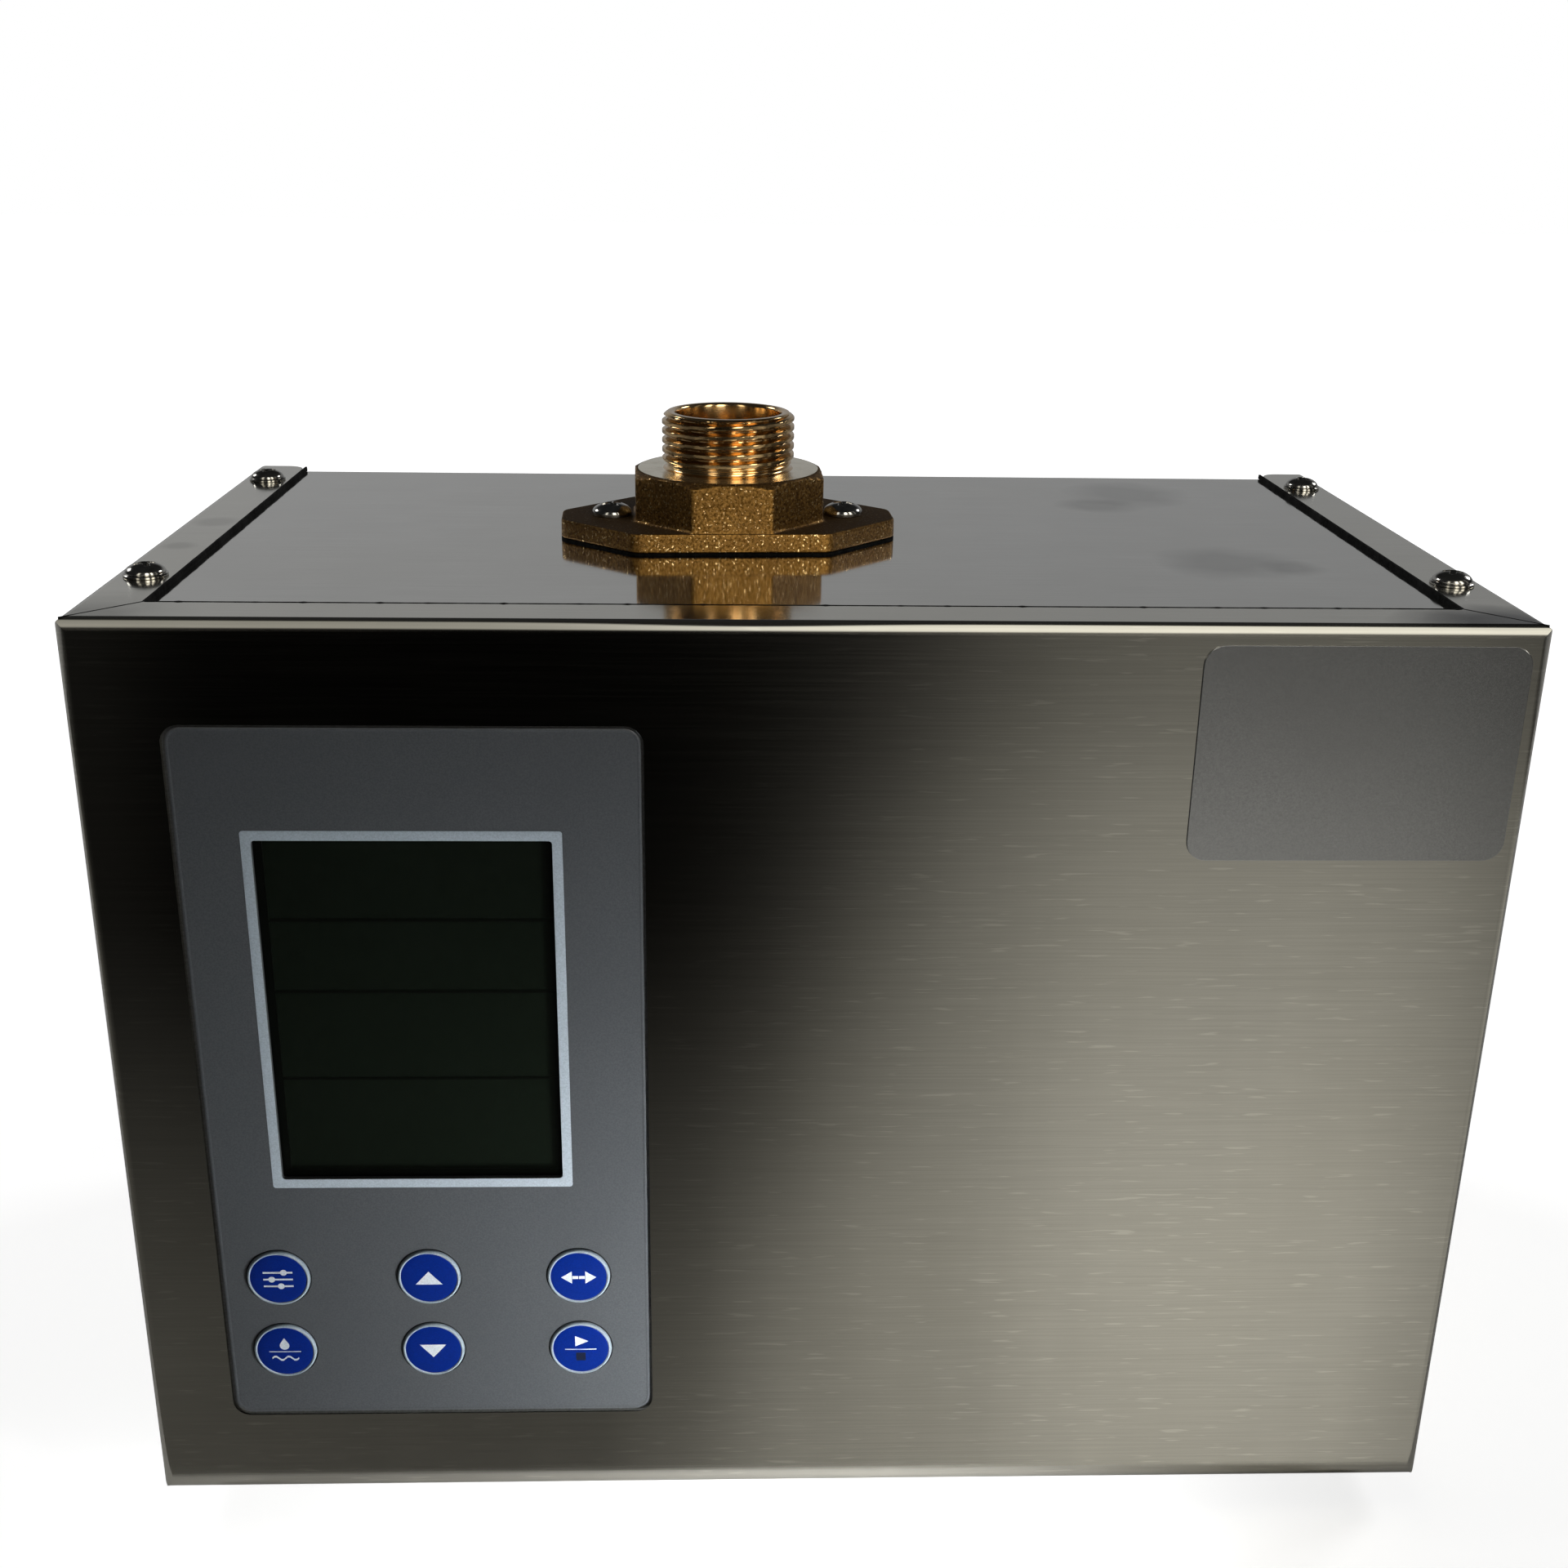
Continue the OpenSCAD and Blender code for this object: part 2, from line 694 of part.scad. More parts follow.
module panel_housing() {
    color("#3a3e42") difference() {
        union() {
            panel_slab(panel_w, panel_h, panel_r, housing_y, housing_in_y);
            panel_slab(panel_w + 2 * rim_w, panel_h + 10, panel_r + 2,
                front_y + sheet_t, housing_in_y);
            difference() {
                panel_slab(panel_w, panel_h, panel_r, housing_y, housing_back_y);
                panel_slab(panel_w - 2 * housing_wall, panel_h - 2 * housing_wall,
                    panel_r - 1, housing_in_y, housing_back_y + 1);
            }
            at_bosses() rod_y(housing_in_y - tiny, board_y, 4, 0, 0);
        }
        panel_slab(lcd_w, lcd_h, 0.8, housing_y - 1, housing_in_y + 1, layout_x, lcd_z);
        panel_slab(lcd_w + 2 * window_lap, lcd_h + 2 * window_lap, 1.5, window_y,
            housing_in_y + 1, layout_x, lcd_z);
        at_keys() rod_y(housing_y - 1, housing_in_y + 1, key_d / 2 + 0.3, 0, 0);
        at_studs() rod_y(front_y, housing_in_y + 1, stud_d / 2 + 0.3, 0, 0);
        at_bosses() rod_y(housing_in_y, board_y + 1, 1.6, 0, 0);
        // Cable slot in the right wall, behind the board
        translate([panel_x + panel_w / 2 - 5, board_y + board_t + 3, panel_z - panel_h / 2 + 28.5])
            cube([10, 8, 30]);
    }
}

module panel_overlay() {
    color("slategray") difference() {
        panel_slab(panel_w, panel_h, panel_r, overlay_y, housing_y);
        panel_slab(lcd_w, lcd_h, 0.8, overlay_y - 1, housing_y + 1, layout_x, lcd_z);
        at_keys() rod_y(overlay_y - 1, housing_y + 1, key_d / 2 + 0.3, 0, 0);
    }
}

module panel_back() {
    color("#34383c") difference() {
        union() {
            panel_slab(panel_w, panel_h, panel_r, housing_back_y, housing_back_y + 2);
            panel_slab(panel_w - 2 * housing_wall - 0.6, panel_h - 2 * housing_wall - 0.6,
                panel_r - 1, housing_back_y - 2, housing_back_y + tiny);
        }
        panel_slab(panel_w - 2 * housing_wall - 4, panel_h - 2 * housing_wall - 4, panel_r - 1,
            housing_back_y - 3, housing_back_y);
        for (i = [0:5])
            panel_slab(50, 2, 0.9, housing_back_y - 1, housing_back_y + 3, panel_x,
                panel_z - 30 - i * 7);
        power_place() translate([-power_half_w - 1, -4, -power_half_h - 1])
            cube([2 * power_half_w + 2, 8, 2 * power_half_h + 2]);
    }
}

module panel_nuts() {
    color("gainsboro") at_studs()
        translate([0, housing_in_y, 0]) rotate([-90, 0, 0]) hex_nut(7, 3.2, stud_d + 0.3);
}

module lcd_window() {
    color([0.10, 0.14, 0.11]) panel_slab(lcd_w + 2 * window_lap - 0.4, lcd_h + 2 * window_lap - 0.4,
        1.3, window_y, window_y + window_t, layout_x, lcd_z);
}

module lcd_module() {
    row_sink = 0.3;
    left_bar = 1.5;
    right_lap = 2.5;
    color([0.16, 0.22, 0.17]) difference() {
        panel_slab(lcd_w + 8, lcd_h + 10, 1, lcd_y, board_y - seat_gap, layout_x, lcd_z);
        // Four rows of the display, parted by thin raised bars
        for (share = [[0.004, 0.238], [0.244, 0.4455], [0.4515, 0.706], [0.712, 0.993]])
            translate([layout_x - lcd_w / 2 + left_bar, lcd_y - 1, lcd_z + lcd_h * (0.5 - share[1])])
                cube([lcd_w - left_bar + right_lap, 1 + row_sink, lcd_h * (share[1] - share[0])]);
    }
}

// Key: a shallow dome on a round cap, a collar behind the wall and a stem to its switch
module key_cap(col, row) {
    face_y = overlay_y - key_proud;
    dome_r = (key_d * key_d / 4 + key_proud * key_proud) / (2 * key_proud);
    color("royalblue") at_key(col, row) union() {
        intersection() {
            translate([0, face_y + dome_r, 0]) sphere(r = dome_r);
            rod_y(face_y - 1, overlay_y + tiny, key_d / 2 - 0.1, 0, 0);
        }
        rod_y(overlay_y - 0.05, housing_in_y + seat_gap + tiny, key_d / 2, 0, 0);
        rod_y(housing_in_y + seat_gap, housing_in_y + seat_gap + 1, key_d / 2 + 1.2, 0, 0);
        rod_y(housing_in_y + seat_gap, board_y - switch_h - 1 - seat_gap - key_travel, 3, 0, 0);
    }
}

module key_set() { key_cap(-1, 0); }
module key_up() { key_cap(0, 0); }
module key_shift() { key_cap(1, 0); }
module key_mode() { key_cap(-1, 1); }
module key_down() { key_cap(0, 1); }
module key_run() { key_cap(1, 1); }

module main_board() {
    color("seagreen") difference() {
        panel_slab(board_w, board_h, 2, board_y, board_y + board_t);
        at_bosses() rod_y(board_y - 1, board_y + board_t + 1, 1.8, 0, 0);
    }
}

module tact_switches() {
    color("#26282a") at_keys() {
        translate([-3, board_y - switch_h, -3]) cube([6, switch_h, 6]);
        rod_y(board_y - switch_h - 1, board_y - switch_h + tiny, 1.75, 0, 0);
    }
}

module board_parts() {
    y = board_y + board_t;
    // Lying capacitors, relay, transformer, processor and plug strip
    color("midnightblue") for (dx = [-30, -10])
        translate([panel_x + dx, y + 8, parts_z]) cylinder(h = 30, r = 8);
    color("#2d2f33") translate([panel_x + 12, y, parts_z + 2]) cube([16, 12, 20]);
    color("khaki") translate([panel_x - 36, y, parts_z + 40]) cube([28, 14, 24]);
    color("#2d2f33") translate([panel_x - 4, y, power_z - power_half_h - 17]) cube([14, 2, 14]);
    color("seashell") translate([panel_x + 20, y, parts_z + 38]) cube([8, 9, 24]);
}

module board_screws() {
    color("gainsboro") at_bosses() translate([0, board_y + board_t, 0]) rotate([-90, 0, 0])
        pan_screw(7, 3, 5.8, 2.2);
}

module power_place() {
    translate([panel_x, housing_back_y, power_z]) children();
}

// The power module sits on the board and touches the heat sink through the back
module power_module() {
    color("#1e2022") translate([panel_x - power_half_w, board_y + board_t, power_z - power_half_h])
        cube([2 * power_half_w, housing_back_y + 2 - board_y - board_t, 2 * power_half_h]);
}

module heat_sink() {
    fins = 9;
    w = 60;
    color("silver") power_place() {
        translate([-w / 2, 2, -32]) cube([w, 4, 64]);
        for (i = [0:fins - 1])
            translate([-w / 2 + i * (w - 1.6) / (fins - 1), 6 - tiny, -32]) cube([1.6, 14, 64]);
    }
}

// Cable entry

module at_gland() {
    translate([gland_x, back_y, gland_z]) rotate([-90, 0, 0]) children();
}

module gland_body() {
    color("#2a2c2e") at_gland() difference() {
        union() {
            cylinder(h = 6, d = 24 / cos(30), $fn = 6);
            translate([0, 0, -sheet_t - 9]) cylinder(h = sheet_t + 10, d = 20);
            translate([0, 0, 5]) cylinder(h = 7, d = 18);
        }
        translate([0, 0, -30]) cylinder(h = 60, d = gland_bore + 2);
        translate([0, 0, 3]) cylinder(h = 20, d = 15);
    }
}

module gland_nut() {
    color("#303234") at_gland() translate([0, 0, -sheet_t - 5]) hex_nut(26, 5, 20.2);
}

module gland_cap() {
    color("#2a2c2e") at_gland() difference() {
        union() {
            translate([0, 0, 6 + seat_gap]) cylinder(h = 6, d = 22 / cos(30), $fn = 6);
            translate([0, 0, 12]) cylinder(h = 8, d1 = 21.5, d2 = 15);
        }
        cylinder(h = 13, d = 18.2);
        cylinder(h = 40, d = gland_bore + 3);
    }
}

module gland_seal() {
    color("#1c1e20") at_gland() difference() {
        translate([0, 0, 3.2]) cylinder(h = 9.5, d = 14.8);
        cylinder(h = 20, d = gland_bore);
    }
}

module terminal_block() {
    ways = 4;
    color("seashell") translate([chassis_x - 24.5, 0, floor_z]) difference() {
        union() {
            cube([24, 44, 10]);
            translate([5, 0, 0]) cube([14, 44, 18]);
        }
        for (i = [0:ways - 1]) translate([12, 6 + i * 10.7, 0]) {
            translate([0, 0, 10]) cylinder(h = 10, d = 5);
            translate([-20, 0, 6]) rotate([0, 90, 0]) cylinder(h = 40, d = 4);
        }
    }
}

// Pump casing

// Spiral outline that widens from the cutwater to the throat, grown by a wall
volute_steps = 40;
volute_sweep = 330;
cutwater_a = 80;
module spiral_2d(grow) {
    polygon([for (i = [0:volute_steps])
        let (s = i / volute_steps, a = cutwater_a - volute_sweep * s,
             rho = volute_base_r + 2 * (volute_r0 + (volute_r1 - volute_r0) * s) + grow)
        rho * [cos(a), sin(a)]]);
}

// Spiral slab on the shaft's axis; the outline's plane is Y and Z
module spiral_slab(half, grow) {
    translate([volute_x - half, pump_y, pump_z]) rotate([90, 0, 90])
        linear_extrude(2 * half) spiral_2d(grow);
}

// The section is a wide slab with a narrower, taller one
module volute(wall) {
    spiral_slab(chamber_half + wall, wall - 4);
    spiral_slab(chamber_half - 3 + wall * 0.8, wall);
}

module pump_casing() {
    lug_len = 12;
    cone_x = casing_left_x - 10;
    pipe_out_r = pipe_r + casing_wall;
    wear_out_r = wear_r + casing_wall;
    color("#8a8f94") difference() {
        union() {
            volute(casing_wall - 0.5);
            rod_x(casing_left_x, volute_x, volute_base_r + volute_r0);
            rod_x(casing_right_x - flange_t, casing_right_x, flange_r);
            translate([0, pump_y, pump_z]) at_lugs() rod_x(casing_right_x - lug_len,
                casing_right_x, lug_size, 0, 0);
            // Suction neck: pipe socket, taper and wear ring seat
            turned_x([[neck_end_x, 0], [neck_end_x, pipe_out_r], [cone_x - 12, pipe_out_r],
                [cone_x, wear_out_r], [casing_left_x + 1, wear_out_r], [casing_left_x + 1, 0]]);
            // Upright discharge
            rod_z(pump_z + 20, casing_top_z - socket_depth, riser_bore_r + casing_wall - 0.5,
                outlet_x, outlet_y);
            rod_z(casing_top_z - socket_depth - socket_floor, casing_top_z, pipe_r + casing_wall,
                outlet_x, outlet_y);
            // Drain boss
            rod_z(drain_z, pump_z - volute_base_r, 8.5, volute_x, pump_y);
        }
        volute(0);
        rod_x(volute_x - chamber_half, volute_x + chamber_half, chamber_r);
        rod_x(volute_x, casing_right_x + 1, pullout_r);
        turned_x([[neck_end_x - 1, 0], [neck_end_x - 1, pipe_r + pipe_play],
            [neck_end_x + socket_depth, pipe_r + pipe_play],
            [neck_end_x + socket_depth, pipe_r - 2], [wear_x - 12, pipe_r - 2],
            [wear_x, eye_r], [wear_x, wear_r], [volute_x, wear_r], [volute_x, 0]]);
        rod_z(pump_z + volute_base_r - 2, casing_top_z + 1, riser_bore_r, outlet_x, outlet_y);
        rod_z(casing_top_z - socket_depth, casing_top_z + 1, pipe_r + pipe_play,
            outlet_x, outlet_y);
        translate([0, pump_y, pump_z]) at_lugs() rod_x(motor_x + flange_t - lug_screw_len - 1,
            casing_right_x + 1, screw_d / 2 + 0.1, 0, 0);
        rod_z(drain_z - 1, pump_z - volute_base_r - 2, 5.1, volute_x, pump_y);
    }
}

module wear_ring() {
    color("khaki") ring_x(wear_x + 0.2, volute_x - chamber_half, wear_r - 0.05, neck_r + neck_gap);
}

module bearing_plate() {
    color("#8a8f94") difference() {
        union() {
            rod_x(casing_right_x, motor_x, flange_r);
            translate([0, pump_y, pump_z]) at_lugs() rod_x(casing_right_x, motor_x, lug_size, 0, 0);
            rod_x(casing_right_x - casing_wall - 1, casing_right_x + 1, pullout_r - 0.2);
            rod_x(casing_right_x, front_bearing_x + bearing_len + 1, bearing_r + 5);
        }
        ring_x(casing_right_x - 3.8, casing_right_x - 1, pullout_r + 1, pullout_r - 2.4);
        rod_x(casing_right_x - 10, motor_x + 30, shaft_r + 1);
        rod_x(front_bearing_x, motor_x + 30, bearing_r + 0.05);
        translate([0, pump_y, pump_z]) at_lugs() rod_x(casing_right_x - 1, motor_x + 1,
            hole_d / 2, 0, 0);
        // Passages that let water into the rotor can
        for (a = [0:60:300]) translate([0, pump_y, pump_z]) rotate([a, 0, 0])
            rod_x(casing_right_x - 10, motor_x + 1, 1.5, bearing_r + 8, 0);
    }
}

module drain_plug() {
    color("goldenrod") translate([volute_x, pump_y, drain_z]) {
        translate([0, 0, -1]) cylinder(h = 7, d = 10);
        translate([0, 0, -4.5]) cylinder(h = 4.5, d = 13 / cos(30), $fn = 6);
    }
}

// Tube with a bell that takes the inlet's spigot
module suction_pipe() {
    bell_x = -side_x + sheet_t + 8;
    tube_end = neck_end_x + socket_depth - 1;
    bell_end = bell_x + spigot_len - 6;
    bell_r = spigot_d / 2 + pipe_play;
    color("silver") turned_x([[bell_x, bell_r], [bell_x, bell_r + 2.8], [bell_end, bell_r + 2.8],
        [bell_end + 6, pipe_r], [tube_end, pipe_r], [tube_end, pipe_r - 2],
        [bell_end - 1, pipe_r - 2], [bell_end - 1, bell_r]]);
}

module riser_pipe() {
    z0 = casing_top_z - socket_depth + 1;
    z1 = valve_low_z + socket_depth - 1;
    color("silver") difference() {
        rod_z(z0, z1, pipe_r, outlet_x, outlet_y);
        rod_z(z0 - 1, z1 + 1, pipe_r - 2, outlet_x, outlet_y);
    }
}

module spigot_seal() {
    translate([0, 0, -spigot_len + 5]) rotate_extrude()
        translate([spigot_d / 2 - 0.75, 0]) circle(r = 0.85);
}

// Sealing rings of the two spigots and of the bearing plate
module sealing_rings() {
    color("#1c1e20") {
        at_outlet() spigot_seal();
        at_inlet() spigot_seal();
        translate([casing_right_x - 2.4, pump_y, pump_z]) rotate([0, 90, 0])
            rotate_extrude() translate([pullout_r - 1.25, 0]) circle(r = 1.1);
    }
}

// Rotor

// Curved blade, from the eye to the rim
module blade_2d() {
    bow = impeller_r * 0.66;
    intersection() {
        difference() {
            circle(r = impeller_r - 0.4);
            circle(r = eye_r - 1);
        }
        translate([eye_r * 0.28, bow + 6.5]) difference() {
            circle(r = bow + blade_t / 2);
            circle(r = bow - blade_t / 2);
        }
        translate([0, -impeller_r]) square([impeller_r * 2, impeller_r * 2]);
    }
}

module impeller() {
    color("#c9a24b") difference() {
        union() {
            rod_x(volute_x - impeller_half, volute_x - passage_w / 2, impeller_r);
            rod_x(volute_x + passage_w / 2, volute_x + impeller_half, impeller_r);
            rod_x(wear_x + 1, volute_x - impeller_half + tiny, neck_r);
            rod_x(volute_x - 10, volute_x + impeller_half, shaft_r + 4);
            translate([volute_x - passage_w / 2 - 0.5, pump_y, pump_z]) rotate([0, 90, 0])
                linear_extrude(passage_w + 1)
                for (i = [0:blades - 1]) rotate(i * 360 / blades) blade_2d();
        }
        difference() {
            rod_x(wear_x, volute_x - passage_w / 2, eye_r);
            rod_x(volute_x - 10, volute_x, shaft_r + 4);
        }
        rod_x(wear_x - 1, volute_x + impeller_half + 1, shaft_r + 0.02);
    }
}

module impeller_nut() {
    color("gainsboro") translate([volute_x - 15, pump_y, pump_z]) rotate([0, 90, 0])
        difference() {
            cylinder(h = 5, d = 1.6 * shaft_d / cos(30), $fn = 6);
            translate([0, 0, -1]) cylinder(h = 10, r = shaft_r + 0.02);
        }
}

module shaft() {
    collar_x = front_bearing_x + bearing_len + seat_gap;
    color("whitesmoke") {
        rod_x(shaft_x0, shaft_x1, shaft_r);
        rod_x(collar_x, stator_x - 4, bearing_r - 1);
        rod_x(stator_x + stator_len + 4, rear_bearing_x - seat_gap, bearing_r - 1);
    }
}

// Steel core with four magnets let into its rim
module rotor_core() {
    core_r = rotor_r - magnet_t;
    x0 = stator_x - 4;
    x1 = stator_x + stator_len + 4;
    color("#4a4d50") ring_x(x0, x1, core_r, shaft_r + 0.02);
    color("#85898c") for (a = [0:90:270])
        translate([x0, pump_y, pump_z]) rotate([0, 90, 0]) rotate([0, 0, a])
            rotate_extrude(angle = 80) translate([core_r + 0.02, 0])
            square([magnet_t, x1 - x0]);
}

module rotor_can() {
    in_x0 = can_x0 + can_t;
    in_x1 = can_x1 - can_t;
    color("silver") turned_x([[in_x0, can_r], [in_x1, can_r], [in_x1, 0], [can_x1, 0],
        [can_x1, can_r + can_t], [in_x0, can_r + can_t], [in_x0, stator_r - 6],
        [can_x0, stator_r - 6], [can_x0, can_r - 2], [in_x0, can_r - 2]]);
}

// Bushes of the shaft, and the ring that carries the rear one in the can
module shaft_bearings() {
    bore_r = shaft_r + shaft_gap;
    color("#3c3f42") {
        ring_x(front_bearing_x, front_bearing_x + bearing_len, bearing_r, bore_r);
        ring_x(rear_bearing_x, rear_bearing_x + bearing_len, bearing_r, bore_r);
    }
    color("tan") difference() {
        ring_x(rear_bearing_x, can_x1 - can_t, can_r - 0.1, bearing_r + 0.05);
        for (a = [30:60:330]) translate([0, pump_y, pump_z]) rotate([a, 0, 0])
            rod_x(rear_bearing_x - 1, can_x1, 2, (bearing_r + can_r) / 2, 0);
    }
}

// Stator

module stator_2d() {
    bore_r = can_r + can_t + 0.2;
    difference() {
        union() {
            difference() {
                circle(r = stator_r);
                circle(r = stator_r - 7);
            }
            for (i = [0:teeth - 1]) rotate(i * 360 / teeth) {
                translate([bore_r - 1, -3.5]) square([stator_r - 7 - bore_r + 2, 7]);
                intersection() {
                    circle(r = bore_r + 2.2);
                    polygon([[0, 0], [2 * can_r, -2 * can_r * tan(16)],
                        [2 * can_r, 2 * can_r * tan(16)]]);
                }
            }
        }
        circle(r = bore_r);
    }
}

module stator_core() {
    color("#5a5d60") translate([stator_x, pump_y, pump_z]) rotate([0, 90, 0])
        linear_extrude(stator_len) stator_2d();
}

// One coil round each tooth
module stator_windings() {
    turn_w = 3.4;
    over = 6;
    low_r = can_r + can_t + 3;
    color("peru") for (i = [0:teeth - 1])
        translate([stator_x + stator_len / 2, pump_y, pump_z]) rotate([0, 90, 0])
            rotate([0, 0, i * 360 / teeth]) difference() {
                translate([low_r, -3.7 - turn_w, -stator_len / 2 - over])
                    cube([stator_r - 8 - low_r, 7.4 + 2 * turn_w, stator_len + 2 * over]);
                translate([low_r - 1, -3.7, -stator_len / 2 - over + turn_w])
                    cube([stator_r, 7.4, stator_len + 2 * over - 2 * turn_w]);
            }
}

module motor_housing() {
    fins = 36;
    foot_low = bracket_z + bracket_t;
    color("steelblue") difference() {
        union() {
            rod_x(motor_x, motor_end_x, housing_r);
            rod_x(motor_x, motor_x + flange_t, flange_r);
            translate([0, pump_y, pump_z]) at_lugs() rod_x(motor_x, motor_x + flange_t,
                lug_size, 0, 0);
            translate([motor_x + 10, pump_y, pump_z]) rotate([0, 90, 0])
                linear_extrude(motor_len - 14)
                for (i = [0:fins - 1])
                    let (a = i * 360 / fins + 5)
                    if (abs((a % 90) - 45) > 9 && abs(a - 360) > 25 && abs(a) > 25)
                        rotate(a) translate([housing_r - 1, -1]) square([fin_h + 1, 2]);
            // Cast feet
            for (x = [bracket_x0 + 24, bracket_x1 - 24])
                translate([x, pump_y, foot_low]) {
                    translate([-8, -pad_half, 0]) cube([16, 2 * pad_half, pad_t]);
                    translate([-3, -pad_web, 0])
                        cube([6, 2 * pad_web, pump_z - foot_low - housing_r + 2]);
                }
        }
        rod_x(motor_x - 1, motor_end_x - 6, stator_r + 0.1);
        rod_x(motor_end_x - 10, motor_end_x + 1, 6.2);
        translate([0, pump_y, pump_z]) at_lugs() rod_x(motor_x - 1, motor_x + flange_t + 1,
            hole_d / 2, 0, 0);
        at_foot_bolts() cylinder(h = foot_low + 10, d = hole_d);
    }
}

// Four through screws, the foot's bolts and the slotted vent screw
module motor_screws() {
    pad_top = bracket_z + bracket_t + pad_t;
    bolt_len = pad_t + bracket_t + nut_h + 1;
    color("dimgray") {
        translate([0, pump_y, pump_z]) at_lugs()
            translate([motor_x + flange_t, 0, 0]) rotate([0, 90, 0]) pan_screw(lug_screw_len);
        at_foot_bolts() {
            translate([0, 0, pad_top]) cylinder(h = 3.5, d = nut_af / cos(30), $fn = 6);
            translate([0, 0, pad_top - bolt_len]) cylinder(h = bolt_len + tiny, d = screw_d);
        }
        difference() {
            union() {
                rod_x(motor_end_x - 5, motor_end_x + tiny, 6);
                rod_x(motor_end_x, motor_end_x + 5, 9);
            }
            translate([motor_end_x + 5, pump_y, pump_z]) cube([4, 2, 20], center = true);
        }
    }
}

// Bent plate that carries the motor, with two upturned edges
module pump_bracket() {
    w = bracket_x1 - bracket_x0;
    color("lightsteelblue") translate([bracket_x0, pump_y, bracket_z]) difference() {
        rotate([90, 0, 90]) linear_extrude(w) difference() {
            translate([0, 20]) rounded_rect(2 * bracket_half, 40, 3);
            translate([0, 20]) rounded_rect(2 * bracket_half - 2 * bracket_t, 40 - 2 * bracket_t, 1);
            translate([0, bracket_lip + 20]) square([3 * bracket_half, 40], center = true);
        }
        translate([-bracket_x0, -pump_y, -5]) {
            at_mounts() cylinder(h = 20, d = hole_d);
            at_foot_bolts() cylinder(h = 20, d = hole_d);
        }
    }
}

module rubber_mounts() {
    color("#202224") at_mounts() translate([0, 0, floor_z]) difference() {
        union() {
            cylinder(h = mount_h, d = 16);
            cylinder(h = 2.5, d = 20);
            translate([0, 0, mount_h - 2.5]) cylinder(h = 2.5, d = 20);
        }
        translate([0, 0, -1]) cylinder(h = mount_h + 2, d = hole_d);
    }
}

// Check valve

module valve_body() {
    color("#9a7434") difference() {
        union() {
            rod_z(valve_low_z, valve_top_z, valve_r, outlet_x, outlet_y);
            translate([outlet_x, outlet_y, valve_low_z + socket_depth + 2])
                cylinder(h = 12, d = 2 * (valve_r + 2) / cos(22.5), $fn = 8);
            rod_y(outlet_y, outlet_y + valve_r + 5, 8, outlet_x, sensor_z);
        }
        rod_z(valve_low_z - 1, valve_low_z + socket_depth, pipe_r + pipe_play, outlet_x, outlet_y);
        rod_z(valve_low_z, valve_top_z, seat_r, outlet_x, outlet_y);
        rod_z(valve_seat_z, valve_top_z, chamber_v_r, outlet_x, outlet_y);
        rod_z(spider_z, valve_top_z + 1, spigot_d / 2 + pipe_play, outlet_x, outlet_y);
        rod_y(outlet_y + 5, outlet_y + valve_r + 6, 5.1, outlet_x, sensor_z);
    }
}

// Spider under the outlet's spigot that guides the valve's stem
module valve_guide() {
    color("#7d5f2b") difference() {
        union() {
            difference() {
                rod_z(spider_z, spider_z + 3, spigot_d / 2, outlet_x, outlet_y);
                rod_z(spider_z - 1, spider_z + 4, chamber_v_r - 2, outlet_x, outlet_y);
            }
            for (a = [0:120:240]) translate([outlet_x, outlet_y, spider_z]) rotate([0, 0, a])
                translate([0, -1.25, 0]) cube([chamber_v_r - 1, 2.5, 3]);
            rod_z(hub_low_z, spider_z + 4, stem_r + 2.5, outlet_x, outlet_y);
        }
        rod_z(hub_low_z - 1, spider_z + 5, stem_r + stem_gap, outlet_x, outlet_y);
    }
}

module pressure_sensor() {
    color("#303438") translate([outlet_x, outlet_y, sensor_z]) rotate([-90, 0, 0]) {
        translate([0, 0, valve_r - 2]) cylinder(h = 8, d = 10);
        translate([0, 0, valve_r + 5]) cylinder(h = 7, d = 17 / cos(30), $fn = 6);
        translate([0, 0, valve_r + 12 - tiny]) cylinder(h = 18, d = 15);
        translate([0, 0, valve_r + 30 - 2 * tiny]) cylinder(h = 8, d = 10);
    }
}

module valve_disc() {
    color("tomato") {
        rod_z(disc_z, disc_z + disc_t, seat_r + 2, outlet_x, outlet_y);
        rod_z(disc_z + disc_t - tiny, spider_z + 2, stem_r, outlet_x, outlet_y);
        translate([outlet_x, outlet_y, disc_z - 7]) cylinder(h = 7 + tiny, r1 = 2, r2 = seat_r - 1.5);
    }
}

// Coil spring as a tube of constant section along a helix
function coil_point(t, j, r, wire_r, z0, rise, sides) =
    let (a = 360 * t, b = 360 * j / sides, rho = r + wire_r * cos(b))
    [rho * cos(a), rho * sin(a), z0 + rise * t + wire_r * sin(b)];

module valve_spring() {
    per_turn = 16;
    sides = 8;
    wire_r = spring_wire / 2;
    z0 = disc_z + disc_t + seat_gap + wire_r;
    z1 = hub_low_z - seat_gap - wire_r;
    steps = spring_turns * per_turn;
    rise = (z1 - z0) / spring_turns;
    color("gainsboro") translate([outlet_x, outlet_y, 0]) polyhedron(
        points = [for (i = [0:steps], j = [0:sides - 1])
            coil_point(i / per_turn, j, spring_r, wire_r, z0, rise, sides)],
        faces = concat(
            [[for (j = [0:sides - 1]) j]],
            [[for (j = [sides - 1:-1:0]) steps * sides + j]],
            [for (i = [0:steps - 1], j = [0:sides - 1], k = [0, 1])
                let (a = i * sides + j, b = i * sides + (j + 1) % sides, c = a + sides, d = b + sides)
                k == 0 ? [a, c, b] : [b, c, d]]));
}

